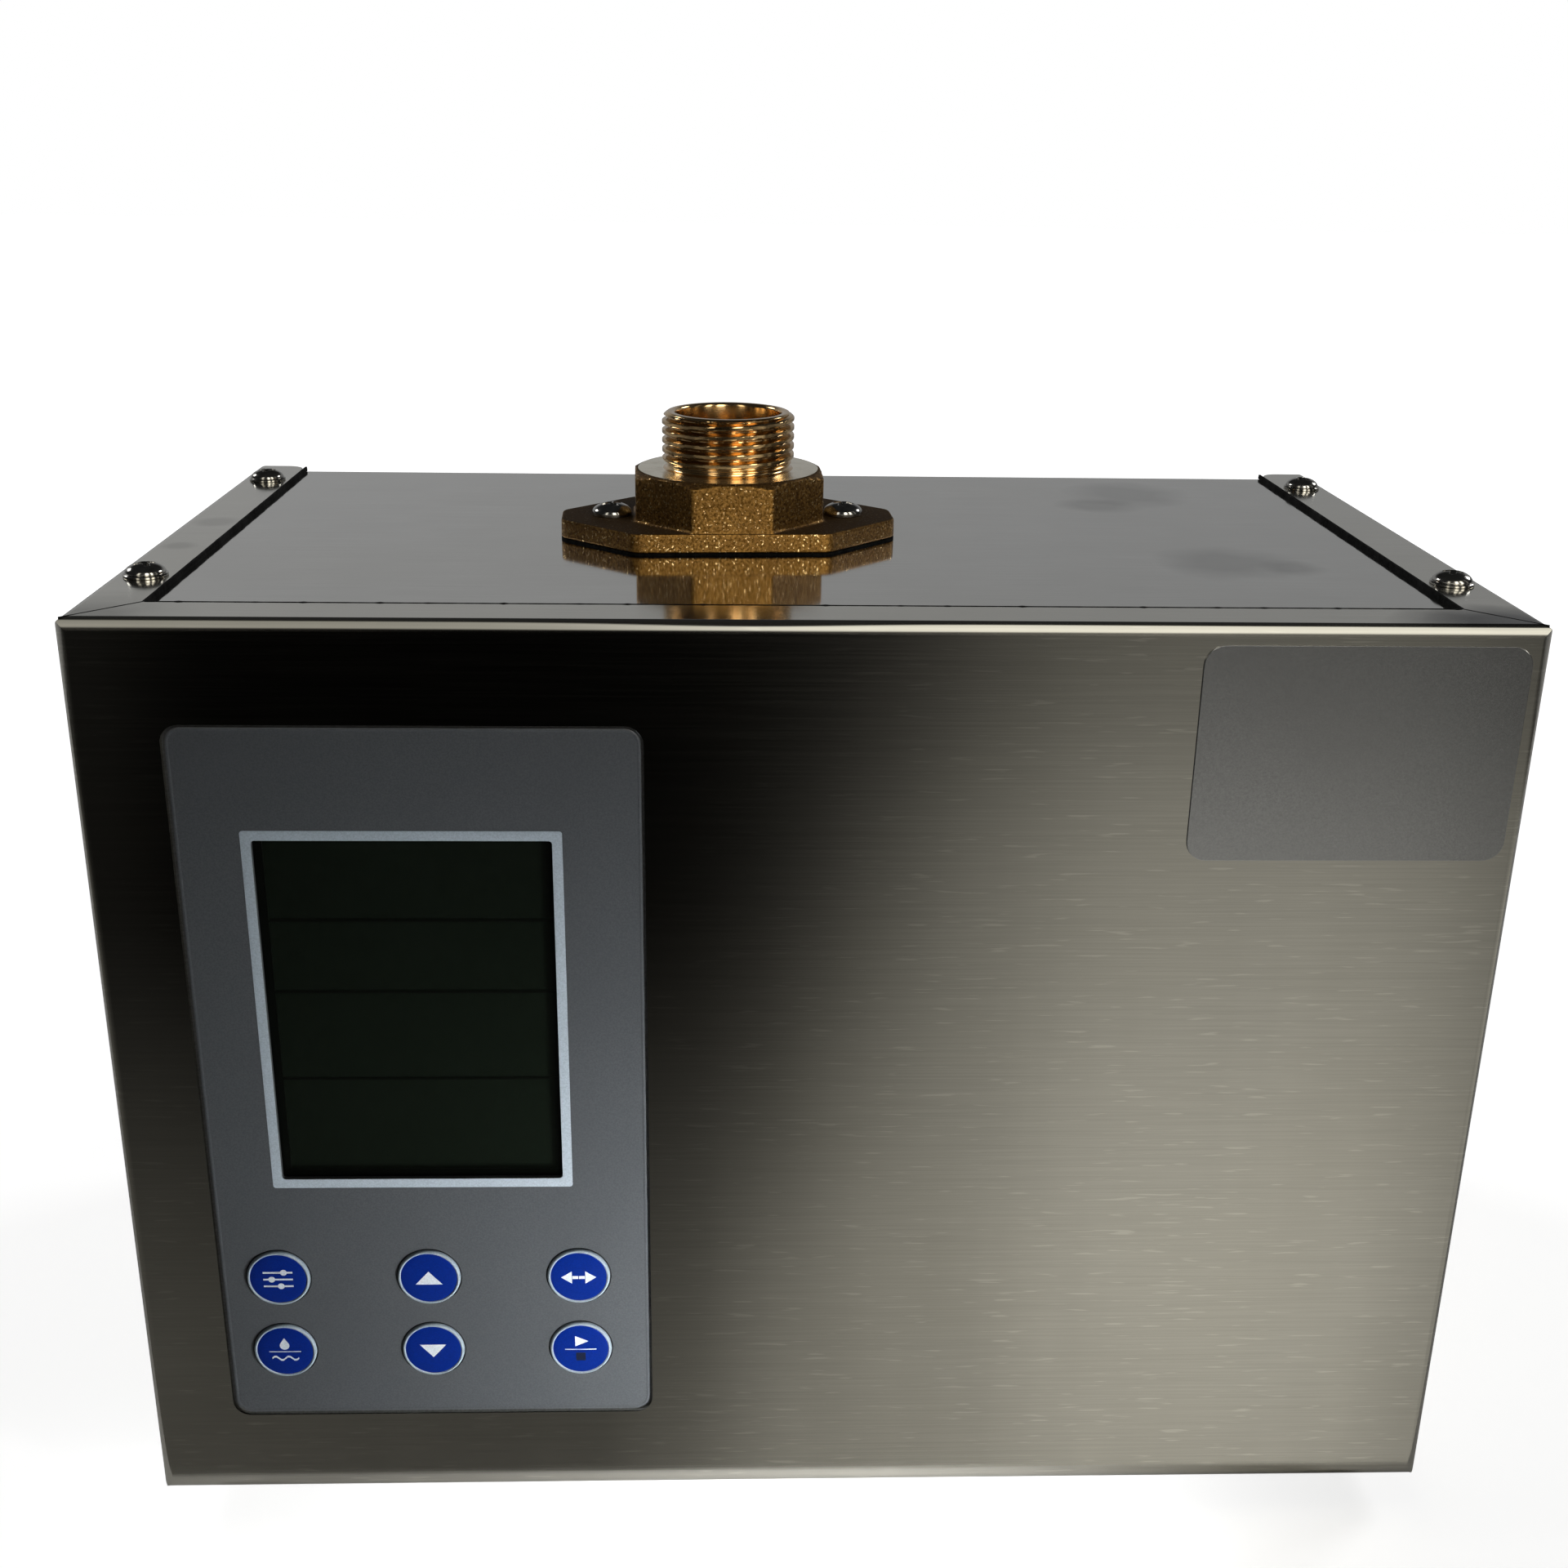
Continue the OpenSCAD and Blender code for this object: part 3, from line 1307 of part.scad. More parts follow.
front_cover();
chassis();
cover_screws();
rubber_feet();
foot_screws();
lock_nuts();
nameplate();
outlet_port();
outlet_gasket();
outlet_screws();
inlet_port();
inlet_gasket();
inlet_screws();
panel_housing();
panel_overlay();
panel_back();
panel_nuts();
lcd_window();
lcd_module();
key_set();
key_up();
key_shift();
key_mode();
key_down();
key_run();
main_board();
tact_switches();
board_parts();
board_screws();
power_module();
heat_sink();
gland_body();
gland_nut();
gland_cap();
gland_seal();
terminal_block();
pump_casing();
wear_ring();
bearing_plate();
drain_plug();
suction_pipe();
riser_pipe();
sealing_rings();
impeller();
impeller_nut();
shaft();
rotor_core();
rotor_can();
shaft_bearings();
stator_core();
stator_windings();
motor_housing();
motor_screws();
pump_bracket();
rubber_mounts();
valve_body();
valve_guide();
valve_disc();
valve_spring();
pressure_sensor();
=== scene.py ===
import json
import math

import bmesh
import bpy
from mathutils import Matrix, Vector


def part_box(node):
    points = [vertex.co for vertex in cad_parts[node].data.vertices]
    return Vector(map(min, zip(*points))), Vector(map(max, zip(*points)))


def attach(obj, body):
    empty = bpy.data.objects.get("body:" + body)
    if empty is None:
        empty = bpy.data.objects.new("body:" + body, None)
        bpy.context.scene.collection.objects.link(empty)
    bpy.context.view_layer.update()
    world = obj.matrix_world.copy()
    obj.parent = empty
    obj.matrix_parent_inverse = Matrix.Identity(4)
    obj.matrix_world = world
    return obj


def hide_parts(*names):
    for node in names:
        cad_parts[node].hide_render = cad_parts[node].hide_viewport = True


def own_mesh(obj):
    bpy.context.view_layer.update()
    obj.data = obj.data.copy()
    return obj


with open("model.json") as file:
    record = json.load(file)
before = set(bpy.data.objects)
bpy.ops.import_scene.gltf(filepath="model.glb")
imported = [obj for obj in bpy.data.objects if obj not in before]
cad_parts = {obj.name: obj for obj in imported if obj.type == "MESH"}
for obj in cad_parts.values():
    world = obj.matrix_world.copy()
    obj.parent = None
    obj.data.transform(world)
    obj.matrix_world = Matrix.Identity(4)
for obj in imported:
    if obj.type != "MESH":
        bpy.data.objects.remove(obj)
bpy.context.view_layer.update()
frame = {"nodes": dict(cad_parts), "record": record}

MM = 0.001

# Case, ports and panel, in millimetres in the frame's axes
CASE_HALF_W = 158.0
CASE_TOP = 232.0
CASE_LOW = 8.0
CHASSIS_TOP = 230.8
FRONT_Y = -88.0
OVERLAY_Y = -87.4
FLANGE_W = 14.3
COVER_SCREW_X = 149.8
COVER_SCREW_Y = (-50.0, 66.0)
OUTLET_AT = (-18.0, 3.0, CHASSIS_TOP)
OUTLET_DEGREES = 2.5
INLET_AT = (-158.0, 15.0, 84.0)
PANEL_X, PANEL_Z = -87.3, 119.8
PANEL_W, PANEL_H = 101.0, 177.0
LAYOUT_X = -89.0
LCD_Z = 139.8
LCD_W, LCD_H = 65.2, 85.2
BORDER_W, BORDER_H = 69.7, 89.8
KEY_Z = 70.1
KEY_PITCH_X, KEY_PITCH_Z = 35.65, 20.7
PLATE_X, PLATE_Z = 118.5, 202.95
PLATE_W, PLATE_H = 71.0, 49.3

# Fitting of the outlet and the inlet round its own axis Z, from its seat up
PORT_FLANGE = [(23.8, -24), (42.2, -6), (42.2, 6), (23.8, 24),
               (-23.8, 24), (-42.2, 6), (-42.2, -6), (-23.8, -24)]
PORT_FLANGE_T = 5.2
PORT_SCREW_X = 29.5
BODY_HALF_W = 23.5
BODY_TOP = 17.3
BODY_TOP_R = 22.9
NIPPLE_TOP = 31.4
NIPPLE_BORE_R = 13.3
THREAD_LOW, THREAD_HIGH = 18.1, 31.0
THREAD_CREST_R = 16.625
THREAD_NECK_R = 15.35
THREAD_PITCH = 2.309
THREAD_DEPTH = 1.48
SPIGOT_LOW = -20.5
SPIGOT_R = 14.7
SPIGOT_GROOVE_R = 12.9
SPIGOT_BORE_R = 10.5


def add(name, data):
    """New object in the scene round a mesh, a light or a camera."""
    made = bpy.data.objects.new(name, data)
    bpy.context.scene.collection.objects.link(made)
    return made


# Materials

class Nodes:
    """A node tree built in code: numbers go on sockets, links join nodes."""

    def __init__(self, tree):
        self.tree = tree

    def put(self, socket, value):
        if isinstance(value, bpy.types.NodeSocket):
            self.tree.links.new(value, socket)
        else:
            socket.default_value = value

    def node(self, kind, props=None, **inputs):
        """New node; an input goes by its name, or by its place as _0, _1 and so on."""
        made = self.tree.nodes.new(kind)
        for key, value in (props or {}).items():
            setattr(made, key, value)
        for key, value in inputs.items():
            where = int(key[1:]) if key[1:].isdigit() else key.replace("_", " ")
            self.put(made.inputs[where], value)
        return made

    def math(self, operation, a, b=0.0):
        return self.node("ShaderNodeMath", {"operation": operation}, _0=a, _1=b).outputs[0]

    def span(self, value, low, high, to_low=0.0, to_high=1.0):
        """Carries low..high over to to_low..to_high, and holds the ends."""
        return self.node("ShaderNodeMapRange", Value=value, From_Min=low, From_Max=high,
                         To_Min=to_low, To_Max=to_high).outputs[0]


class Shader(Nodes):
    """One procedural material; its coordinates are the object's own, in metres."""

    def __init__(self, name, color, **values):
        self.material = bpy.data.materials.new(name)
        self.material.use_nodes = True
        super().__init__(self.material.node_tree)
        self.bsdf = self.tree.nodes["Principled BSDF"]
        self.set("Base Color", (*color, 1))
        for key, value in values.items():
            self.set(key.replace("_", " "), value)
        self.coords = self.node("ShaderNodeTexCoord").outputs["Object"]

    def set(self, name, value):
        self.put(self.bsdf.inputs[name], value)

    def stretched(self, scale):
        return self.node("ShaderNodeMapping", Vector=self.coords, Scale=scale).outputs[0]

    def noise(self, scale, detail=4.0, roughness=0.5, stretch=None):
        source = self.stretched(stretch) if stretch else self.coords
        return self.node("ShaderNodeTexNoise", Vector=source, Scale=float(scale), Detail=float(detail),
                         Roughness=roughness).outputs[0]

    def mix(self, factor, a, b):
        a = (*a, 1) if isinstance(a, tuple) else a
        b = (*b, 1) if isinstance(b, tuple) else b
        return self.node("ShaderNodeMix", {"data_type": "RGBA"}, _0=factor, _6=a, _7=b).outputs[2]

    def bump(self, height, strength, distance):
        """Adds a bump on top of those that are there."""
        under = self.bsdf.inputs["Normal"].links
        made = self.node("ShaderNodeBump", Height=height, Strength=strength, Distance=distance)
        if under:
            self.tree.links.new(under[0].from_socket, made.inputs["Normal"])
        self.set("Normal", made.outputs[0])

    def facing(self):
        """How far the face looks up or down: 0 on a wall, 1 on a level face."""
        normal = self.node("ShaderNodeNewGeometry").outputs["Normal"]
        level = self.node("ShaderNodeSeparateXYZ", Vector=normal).outputs[2]
        return self.math("ABSOLUTE", level)

    def near(self, at, radius, soft):
        """1 within a blot of that radius around a point, 0 outside, with a soft and wavy edge."""
        centre = tuple(c * MM for c in at)
        away = self.node("ShaderNodeVectorMath", {"operation": "DISTANCE"}, _0=self.coords,
                         _1=centre).outputs["Value"]
        wobble = self.noise(60, 2)
        edge = self.math("ADD", away, self.math("MULTIPLY", wobble, radius * MM * 0.8))
        return self.span(edge, (radius + soft) * MM, radius * MM)


def scaled(color, factor):
    """Color times a number, at most 1."""
    return tuple(min(1, c * factor) for c in color)


def brushed_steel(name, color, wall_rough, level_rough, anisotropy, grain, stains_and_shade):
    """Sheet with a fine grain: level along the walls, along X on top, with slow stains.

    Each smudge is a place, a radius in millimetres and a strength, on level faces only; some are stains and
    some are painted shade, as the lists give them."""
    s = Shader(name, color, Metallic=1.0, Roughness=wall_rough, Anisotropic=anisotropy)
    level = s.facing()
    upright = s.math("SUBTRACT", 1.0, level)
    walls = s.noise(1, 2, 0.5, stretch=(30, 30, 2800))
    top = s.noise(1, 2, 0.5, stretch=(30, 2800, 30))
    lines = s.mix(level, walls, top)
    cloud = s.noise(14, 5, 0.6)
    streaks = s.noise(1, 3, 0.55, stretch=(55, 55, 4))
    warm = (color[0] * 0.88, color[1] * 0.86, color[2] * 0.8)
    shade = s.mix(s.span(lines, 0.3, 0.7), scaled(color, 0.93), scaled(color, 1.05))
    shade = s.mix(s.span(cloud, 0.45, 0.75, 0.0, 0.22), shade, warm)
    shade = s.mix(s.span(streaks, 0.35, 0.7, 0.16, 0.0), shade, scaled(color, 0.72))
    rough = s.math("ADD", wall_rough, s.math("MULTIPLY", level, level_rough - wall_rough))
    rough = s.math("MULTIPLY", rough, s.span(lines, 0.25, 0.75, 0.88, 1.14))
    rough = s.math("ADD", rough, s.span(cloud, 0.4, 0.8, 0.0, min(wall_rough, level_rough) * 0.18))
    dashes = s.span(s.noise(1, 1, 0.4, stretch=(110, 110, 1500)), 0.66, 0.74, 0.0, 0.35)
    shade = s.mix(s.math("MULTIPLY", dashes, upright), shade, scaled(color, 1.5))
    level_only = s.math("POWER", level, 8.0)
    # Darkened blots on level faces: some are stains, and some are painted shade for a dark reflection, as the
    # lists give them.
    for at, radius, strength in stains_and_shade:
        blot = s.math("MULTIPLY", s.near(at, radius, radius * 0.7), level_only)
        shade = s.mix(s.math("MULTIPLY", blot, strength), shade, scaled(color, 0.05))
        rough = s.math("ADD", rough, s.math("MULTIPLY", blot, 0.05))
    s.set("Base Color", shade)
    s.set("Roughness", rough)
    s.set("Tangent", s.node("ShaderNodeCombineXYZ", X=0.0, Y=level, Z=upright).outputs[0])
    s.bump(lines, grain, 0.00001)
    s.bump(s.noise(7, 1), 0.12, 0.0005)
    return s.material


def cast_brass():
    """Sand-cast brass: pitted skin with a few glints, and painted shade darkening the faces that look up,
    which are also rougher.
    """
    s = Shader("cast_brass_skin", (0.42, 0.25, 0.08), Metallic=1.0, Roughness=0.42)
    sand = s.noise(1500, 4, 0.65)
    pits = s.node("ShaderNodeTexVoronoi", {"feature": "F1"}, Vector=s.coords, Scale=900.0).outputs["Distance"]
    cloud = s.noise(110, 5, 0.6)
    shade = s.mix(s.span(sand, 0.38, 0.64), (0.08, 0.038, 0.008), (0.30, 0.163, 0.043))
    shade = s.mix(s.span(cloud, 0.5, 0.72, 0.0, 0.5), shade, (0.12, 0.062, 0.017))
    glint = s.span(s.noise(1700, 1, 0.4), 0.66, 0.72)
    shade = s.mix(glint, shade, (0.95, 0.70, 0.34))
    # Painted shade: faces that look up are darkened nearly to black, standing for the dark room above that
    # they would reflect.
    level = s.math("POWER", s.facing(), 6.0)
    s.set("Base Color", s.mix(s.math("MULTIPLY", level, 0.9), shade, (0.035, 0.02, 0.008)))
    rough = s.math("SUBTRACT", s.span(sand, 0.3, 0.7, 0.36, 0.5), s.math("MULTIPLY", glint, 0.2))
    s.set("Roughness", s.math("ADD", rough, s.math("MULTIPLY", level, 0.35)))
    s.bump(sand, 0.5, 0.00025)
    s.bump(s.math("SUBTRACT", 1.0, s.span(pits, 0.0, 0.35)), 0.3, 0.00012)
    return s.material


def turned_brass(name, dark, light, stained, roughness):
    """Lathe marks run round the piece's own Z axis."""
    s = Shader(name, light, Metallic=1.0, Roughness=roughness)
    marks = s.noise(1, 2, 0.5, stretch=(30, 30, 9000))
    stain = s.noise(240, 4, 0.6)
    shade = s.mix(s.span(marks, 0.3, 0.7), dark, light)
    s.set("Base Color", s.mix(s.span(stain, 0.5, 0.75, 0.0, 0.35), shade, stained))
    s.set("Roughness", s.span(stain, 0.3, 0.7, roughness * 0.85, roughness * 1.15))
    s.bump(marks, 0.03, 0.00001)
    return s.material


def plain_metal(name, color, roughness, mottle, scale=220, streak=None, depth=0.00004, metallic=1.0):
    """Metal with a mottled skin, streaked where it was turned or rolled."""
    s = Shader(name, color, Metallic=metallic, Roughness=roughness)
    grain = s.noise(1 if streak else scale, 4, 0.6, stretch=streak)
    cloud = s.noise(scale * 0.2, 4, 0.55)
    dark = scaled(color, 1 - mottle)
    shade = s.mix(s.span(grain, 0.32, 0.68), dark, scaled(color, 1 + mottle * 0.6))
    s.set("Base Color", s.mix(s.span(cloud, 0.48, 0.78, 0.0, 0.45), shade, scaled(dark, 0.7)))
    s.set("Roughness", s.span(cloud, 0.3, 0.7, roughness * 0.8, min(1, roughness * 1.3)))
    s.bump(grain, 0.4, depth)
    return s.material


def moulded(name, color, roughness, grain_scale=1800, grain=0.3, sheen=0.0, specular=0.5):
    """Moulded plastic or rubber: fine spark-erosion grain, slight wear and dust."""
    s = Shader(name, color, Roughness=roughness, Sheen_Weight=sheen, Specular_IOR_Level=specular)
    fine = s.noise(grain_scale, 3, 0.55)
    dust = s.noise(70, 5, 0.65)
    lighter = tuple(min(1, c * 1.25 + 0.01) for c in color)
    dusty = tuple(c * 0.7 + 0.04 * specular for c in color)
    shade = s.mix(s.span(fine, 0.35, 0.65), scaled(color, 0.85), lighter)
    s.set("Base Color", s.mix(s.span(dust, 0.5, 0.8, 0.0, 0.35), shade, dusty))
    s.set("Roughness", s.span(dust, 0.35, 0.7, roughness * 0.9, min(1, roughness * 1.2)))
    s.bump(fine, grain, 0.00005)
    return s.material


def overlay_film():
    """Printed satin film with a fine stipple."""
    s = Shader("overlay_film", (0.07, 0.076, 0.083), Roughness=0.42)
    stipple = s.noise(2600, 2, 0.5)
    cloud = s.noise(25, 4, 0.6)
    shade = s.mix(s.span(stipple, 0.35, 0.65), (0.06, 0.066, 0.072), (0.081, 0.088, 0.096))
    s.set("Base Color", s.mix(s.span(cloud, 0.4, 0.75, 0.0, 0.4), shade, (0.06, 0.065, 0.071)))
    s.set("Roughness", s.span(stipple, 0.3, 0.7, 0.34, 0.46))
    s.bump(stipple, 0.22, 0.00002)
    return s.material


def key_film(name, color, roughness=0.3, coat=0.3, specular=0.5):
    """Glossier embossed film of the keys and prints."""
    s = Shader(name, color, Roughness=roughness, Specular_IOR_Level=specular, Coat_Weight=coat,
               Coat_Roughness=0.2)
    stipple = s.noise(3000, 2, 0.5)
    wear = s.noise(300, 4, 0.6)
    shade = s.mix(s.span(stipple, 0.35, 0.65), scaled(color, 0.88), scaled(color, 1.1))
    s.set("Base Color", s.mix(s.span(wear, 0.55, 0.8, 0.0, 0.25), shade, scaled(color, 0.8)))
    s.set("Roughness", s.span(wear, 0.3, 0.7, roughness * 0.85, roughness * 1.2))
    s.bump(stipple, 0.15, 0.00002)
    return s.material


def silver_plate():
    """Bare silver sticker: fine metallic film with a soft wave in it."""
    s = Shader("silver_plate", (0.44, 0.445, 0.45), Metallic=0.9, Roughness=0.14)
    fine = s.noise(3200, 2, 0.5)
    wave = s.noise(30, 3, 0.5)
    shade = s.mix(s.span(fine, 0.3, 0.7), (0.39, 0.395, 0.40), (0.49, 0.495, 0.50))
    s.set("Base Color", s.mix(s.span(wave, 0.45, 0.7, 0.0, 0.3), shade, (0.38, 0.382, 0.385)))
    s.set("Roughness", s.span(fine, 0.3, 0.7, 0.12, 0.16))
    s.bump(fine, 0.05, 0.00002)
    s.bump(wave, 0.1, 0.0003)
    return s.material


def display_glass():
    """Dark window of the display, with faint dust."""
    clear, dusty = (0.004, 0.006, 0.004), (0.02, 0.023, 0.02)
    s = Shader("display_glass", clear, Roughness=0.12, Alpha=0.22, Specular_IOR_Level=0.3)
    dust = s.noise(420, 5, 0.7)
    s.set("Base Color", s.mix(s.span(dust, 0.62, 0.78, 0.0, 0.4), clear, dusty))
    s.set("Roughness", s.span(dust, 0.3, 0.7, 0.08, 0.2))
    return s.material


def display_panel():
    """The display behind the window: dark green rows, black bars in front of them."""
    s = Shader("display_panel", (0.01, 0.02, 0.012), Roughness=0.35)
    depth = s.node("ShaderNodeSeparateXYZ", Vector=s.coords).outputs[1]
    row = s.span(depth, -0.08425, -0.08405)
    cells = s.noise(1, 2, 0.5, stretch=(700, 10, 700))
    green = s.mix(s.span(cells, 0.3, 0.7), (0.0075, 0.0125, 0.0075), (0.0095, 0.016, 0.0095))
    s.set("Base Color", s.mix(row, (0.0008, 0.001, 0.0009), green))
    s.set("Roughness", s.span(cells, 0.3, 0.7, 0.3, 0.4))
    return s.material


def board_mask():
    """Green solder mask with tracks under it."""
    s = Shader("board_mask", (0.01, 0.10, 0.03), Roughness=0.35)
    tracks = s.node("ShaderNodeTexBrick", Vector=s.stretched((160, 160, 160)), Scale=1.0,
                    Mortar_Size=0.04, Color1=(0.008, 0.085, 0.028, 1), Color2=(0.012, 0.11, 0.036, 1),
                    Mortar=(0.02, 0.18, 0.06, 1)).outputs
    mottle = s.noise(90, 3)
    s.set("Base Color", s.mix(s.span(mottle, 0.4, 0.7, 0.0, 0.5), tracks["Color"], (0.007, 0.07, 0.022)))
    s.set("Roughness", s.span(mottle, 0.3, 0.7, 0.28, 0.45))
    s.bump(tracks["Fac"], 0.2, 0.00005)
    return s.material


def wound_copper():
    """Enamelled wire laid side by side round the teeth."""
    s = Shader("wound_copper", (0.72, 0.30, 0.12), Metallic=0.85, Roughness=0.3)
    turns = s.node("ShaderNodeTexWave", {"wave_type": "BANDS", "bands_direction": "DIAGONAL"},
                   Vector=s.coords, Scale=420.0, Distortion=0.6, Detail=1.0).outputs["Fac"]
    varnish = s.noise(140, 4)
    shade = s.mix(turns, (0.36, 0.12, 0.04), (0.85, 0.40, 0.17))
    s.set("Base Color", s.mix(s.span(varnish, 0.5, 0.75, 0.0, 0.6), shade, (0.42, 0.13, 0.03)))
    s.set("Roughness", s.span(varnish, 0.3, 0.7, 0.22, 0.4))
    s.bump(turns, 0.6, 0.0003)
    return s.material


def laminated():
    """Stack of core sheets, seen as fine lines across the axis X."""
    s = Shader("laminated_core", (0.32, 0.31, 0.30), Metallic=1.0, Roughness=0.45)
    sheets = s.node("ShaderNodeTexWave", {"wave_type": "BANDS", "bands_direction": "X"},
                    Vector=s.coords, Scale=320.0, Distortion=0.15).outputs["Fac"]
    rust = s.noise(120, 5, 0.65)
    shade = s.mix(sheets, (0.16, 0.155, 0.15), (0.42, 0.41, 0.40))
    s.set("Base Color", s.mix(s.span(rust, 0.56, 0.76, 0.0, 0.5), shade, (0.20, 0.10, 0.05)))
    s.set("Roughness", s.span(rust, 0.3, 0.7, 0.38, 0.6))
    s.bump(sheets, 0.35, 0.0001)
    return s.material


# Place, radius and strength of each darkened blot, in millimetres: those on the top are stains; on the
# flanges the two at the right front corner are painted shade for a dark reflection, and the others are darker
# blots.
TOP_SMUDGES = [((97.0, 60.0, 231.0), 15.0, 0.3), ((86.0, 44.0, 231.0), 9.0, 0.3),
               ((104.0, -25.0, 231.0), 14.0, 0.3), ((118.0, -30.0, 231.0), 7.0, 0.3)]
FLANGE_SMUDGES_AND_SHADE = [((148.0, -87.0, 232.0), 14.0, 1.0), ((137.0, -85.0, 232.0), 11.0, 0.5),
                  ((-152.0, -85.0, 232.0), 9.0, 0.25), ((-150.0, -82.0, 232.0), 16.0, 0.15),
                  ((-151.0, -20.0, 232.0), 4.0, 0.2), ((-149.0, 8.0, 232.0), 5.0, 0.2)]
looks = {
    "front_steel": brushed_steel("front_steel", (0.58, 0.565, 0.51), wall_rough=0.11, level_rough=0.12,
                                 anisotropy=0.2, grain=0.25, stains_and_shade=FLANGE_SMUDGES_AND_SHADE),
    "top_steel": brushed_steel("top_steel", (0.56, 0.555, 0.53), wall_rough=0.3, level_rough=0.07,
                               anisotropy=0.35, grain=0.12, stains_and_shade=TOP_SMUDGES),
    "cast_brass": cast_brass(),
    "turned_brass": turned_brass("turned_brass", dark=(0.50, 0.33, 0.15), light=(0.68, 0.48, 0.25),
                                 stained=(0.34, 0.21, 0.09), roughness=0.15),
    # Faced brass is a paler copy of the turned brass: partly the faced top's own finish, partly a painted
    # highlight for the bright wall that the top face reflects.
    "faced_brass_painted_bright": turned_brass("faced_brass_painted_bright", dark=(0.84, 0.77, 0.61), light=(0.94, 0.88, 0.71),
                                stained=(0.66, 0.55, 0.38), roughness=0.22),
    "screw_steel": plain_metal("screw_plating", (0.38, 0.37, 0.345), 0.15, 0.3, 500),
    "nut_steel": plain_metal("zinc_plating", (0.52, 0.53, 0.53), 0.38, 0.25, 420),
    "black_rubber": moulded("ribbed_rubber", (0.018, 0.018, 0.019), 0.75, 900, 0.5, sheen=0.15),
    "seal_and_shade_black": moulded("black_seal_and_shade", (0.004, 0.004, 0.004), 0.6, 900, 0.4, specular=0.03),
    "housing_plastic": moulded("housing_moulding", (0.06, 0.065, 0.07), 0.5),
    "overlay_grey": overlay_film(),
    "print_pale": key_film("print_pale", (0.37, 0.43, 0.48), 0.4, coat=0.1),
    "print_white": key_film("print_white", (0.55, 0.60, 0.64), 0.4, coat=0.1),
    "print_dark": key_film("print_dark", (0.006, 0.010, 0.030), 0.35),
    "key_blue": key_film("key_blue_film", (0.0001, 0.014, 0.16), 0.4, coat=0.0, specular=0.15),
    "key_ring": key_film("key_ring_film", (0.27, 0.33, 0.38), 0.3, coat=0.2),
    "plate_silver": silver_plate(),
    "display_window": display_glass(),
    "display_dark": display_panel(),
    "board_green": board_mask(),
    "black_plastic": moulded("switch_plastic", (0.02, 0.02, 0.021), 0.42),
    "parts_mixed": moulded("component_bodies", (0.035, 0.035, 0.04), 0.38, 900),
    "aluminium": plain_metal("drawn_aluminium", (0.72, 0.73, 0.74), 0.34, 0.12, 300,
                             streak=(900, 900, 12)),
    "block_plastic": moulded("block_moulding", (0.46, 0.47, 0.44), 0.45),
    "cast_iron": plain_metal("painted_casting", (0.16, 0.165, 0.17), 0.55, 0.35, 650, depth=0.0002,
                             metallic=0.6),
    "stainless_tube": plain_metal("drawn_stainless", (0.60, 0.595, 0.57), 0.24, 0.14, 300,
                                  streak=(300, 300, 300)),
    "core_steel": laminated(),
    "carbon": plain_metal("pressed_carbon", (0.05, 0.05, 0.052), 0.4, 0.3, 900, metallic=0.3),
    "copper": wound_copper(),
    "motor_paint": moulded("motor_enamel", (0.03, 0.075, 0.10), 0.38, 1200, 0.4),
    "zinc_sheet": plain_metal("zinc_coated_sheet", (0.56, 0.57, 0.58), 0.4, 0.3, 130),
    "valve_plastic": moulded("valve_moulding", (0.55, 0.53, 0.47), 0.4),
    "sensor_case": moulded("sensor_moulding", (0.03, 0.04, 0.06), 0.36),
    "bronze": plain_metal("cast_bronze", (0.50, 0.30, 0.12), 0.34, 0.25, 500),
    "spring_wire": plain_metal("spring_wire_steel", (0.55, 0.54, 0.52), 0.22, 0.2, 800),
}


# Mesh helpers: outlines, rings and parts are in millimetres; parts are verts, faces and their slots
def rounded_outline(corners, radius, steps=6):
    """Convex outline with its corners rounded, as a list of points anticlockwise."""
    points = []
    count = len(corners)
    for i, corner in enumerate(corners):
        here = Vector(corner)
        to_last = (Vector(corners[i - 1]) - here).normalized()
        to_next = (Vector(corners[(i + 1) % count]) - here).normalized()
        half = to_last.angle(to_next) / 2
        centre = here + (to_last + to_next).normalized() * (radius / math.sin(half))
        start = here + to_last * (radius / math.tan(half)) - centre
        end = here + to_next * (radius / math.tan(half)) - centre
        first = math.atan2(start.y, start.x)
        sweep = (math.atan2(end.y, end.x) - first + math.pi) % (2 * math.pi) - math.pi
        for k in range(steps + 1):
            a = first + sweep * k / steps
            points.append((centre.x + radius * math.cos(a), centre.y + radius * math.sin(a)))
    return points


def reach(outline, angle):
    """How far an outline lies from the origin in a direction."""
    dx, dy = math.cos(angle), math.sin(angle)
    best = 0.0
    for (x0, y0), (x1, y1) in zip(outline, outline[1:] + outline[:1]):
        ex, ey = x1 - x0, y1 - y0
        cross = dx * ey - dy * ex
        if abs(cross) < 1e-9:
            continue
        along = (x0 * ey - y0 * ex) / cross
        share = (x0 * dy - y0 * dx) / cross
        if along > 0 and -1e-6 <= share <= 1 + 1e-6:
            best = max(best, along)
    return best


def box_corners(w, h):
    return [(w / 2, -h / 2), (w / 2, h / 2), (-w / 2, h / 2), (-w / 2, -h / 2)]


def make(name, parts, materials, matrix=None, sharp=32):
    """Object from parts, with one look for each slot; edges sharper than that angle stay sharp."""
    verts, faces, slots = parts
    mesh = bpy.data.meshes.new(name)
    mesh.from_pydata([tuple(c * MM for c in v) for v in verts], [], faces)
    for material in materials:
        mesh.materials.append(looks[material])
    mesh.polygons.foreach_set("material_index", slots)
    bm = bmesh.new()
    bm.from_mesh(mesh)
    bmesh.ops.remove_doubles(bm, verts=bm.verts, dist=1e-8)
    bmesh.ops.recalc_face_normals(bm, faces=bm.faces)
    bm.to_mesh(mesh)
    bm.free()
    mesh.update()
    mesh.shade_smooth()
    mesh.set_sharp_from_angle(angle=math.radians(sharp))
    made = add(name, mesh)
    if matrix is not None:
        made.matrix_world = matrix
    return made


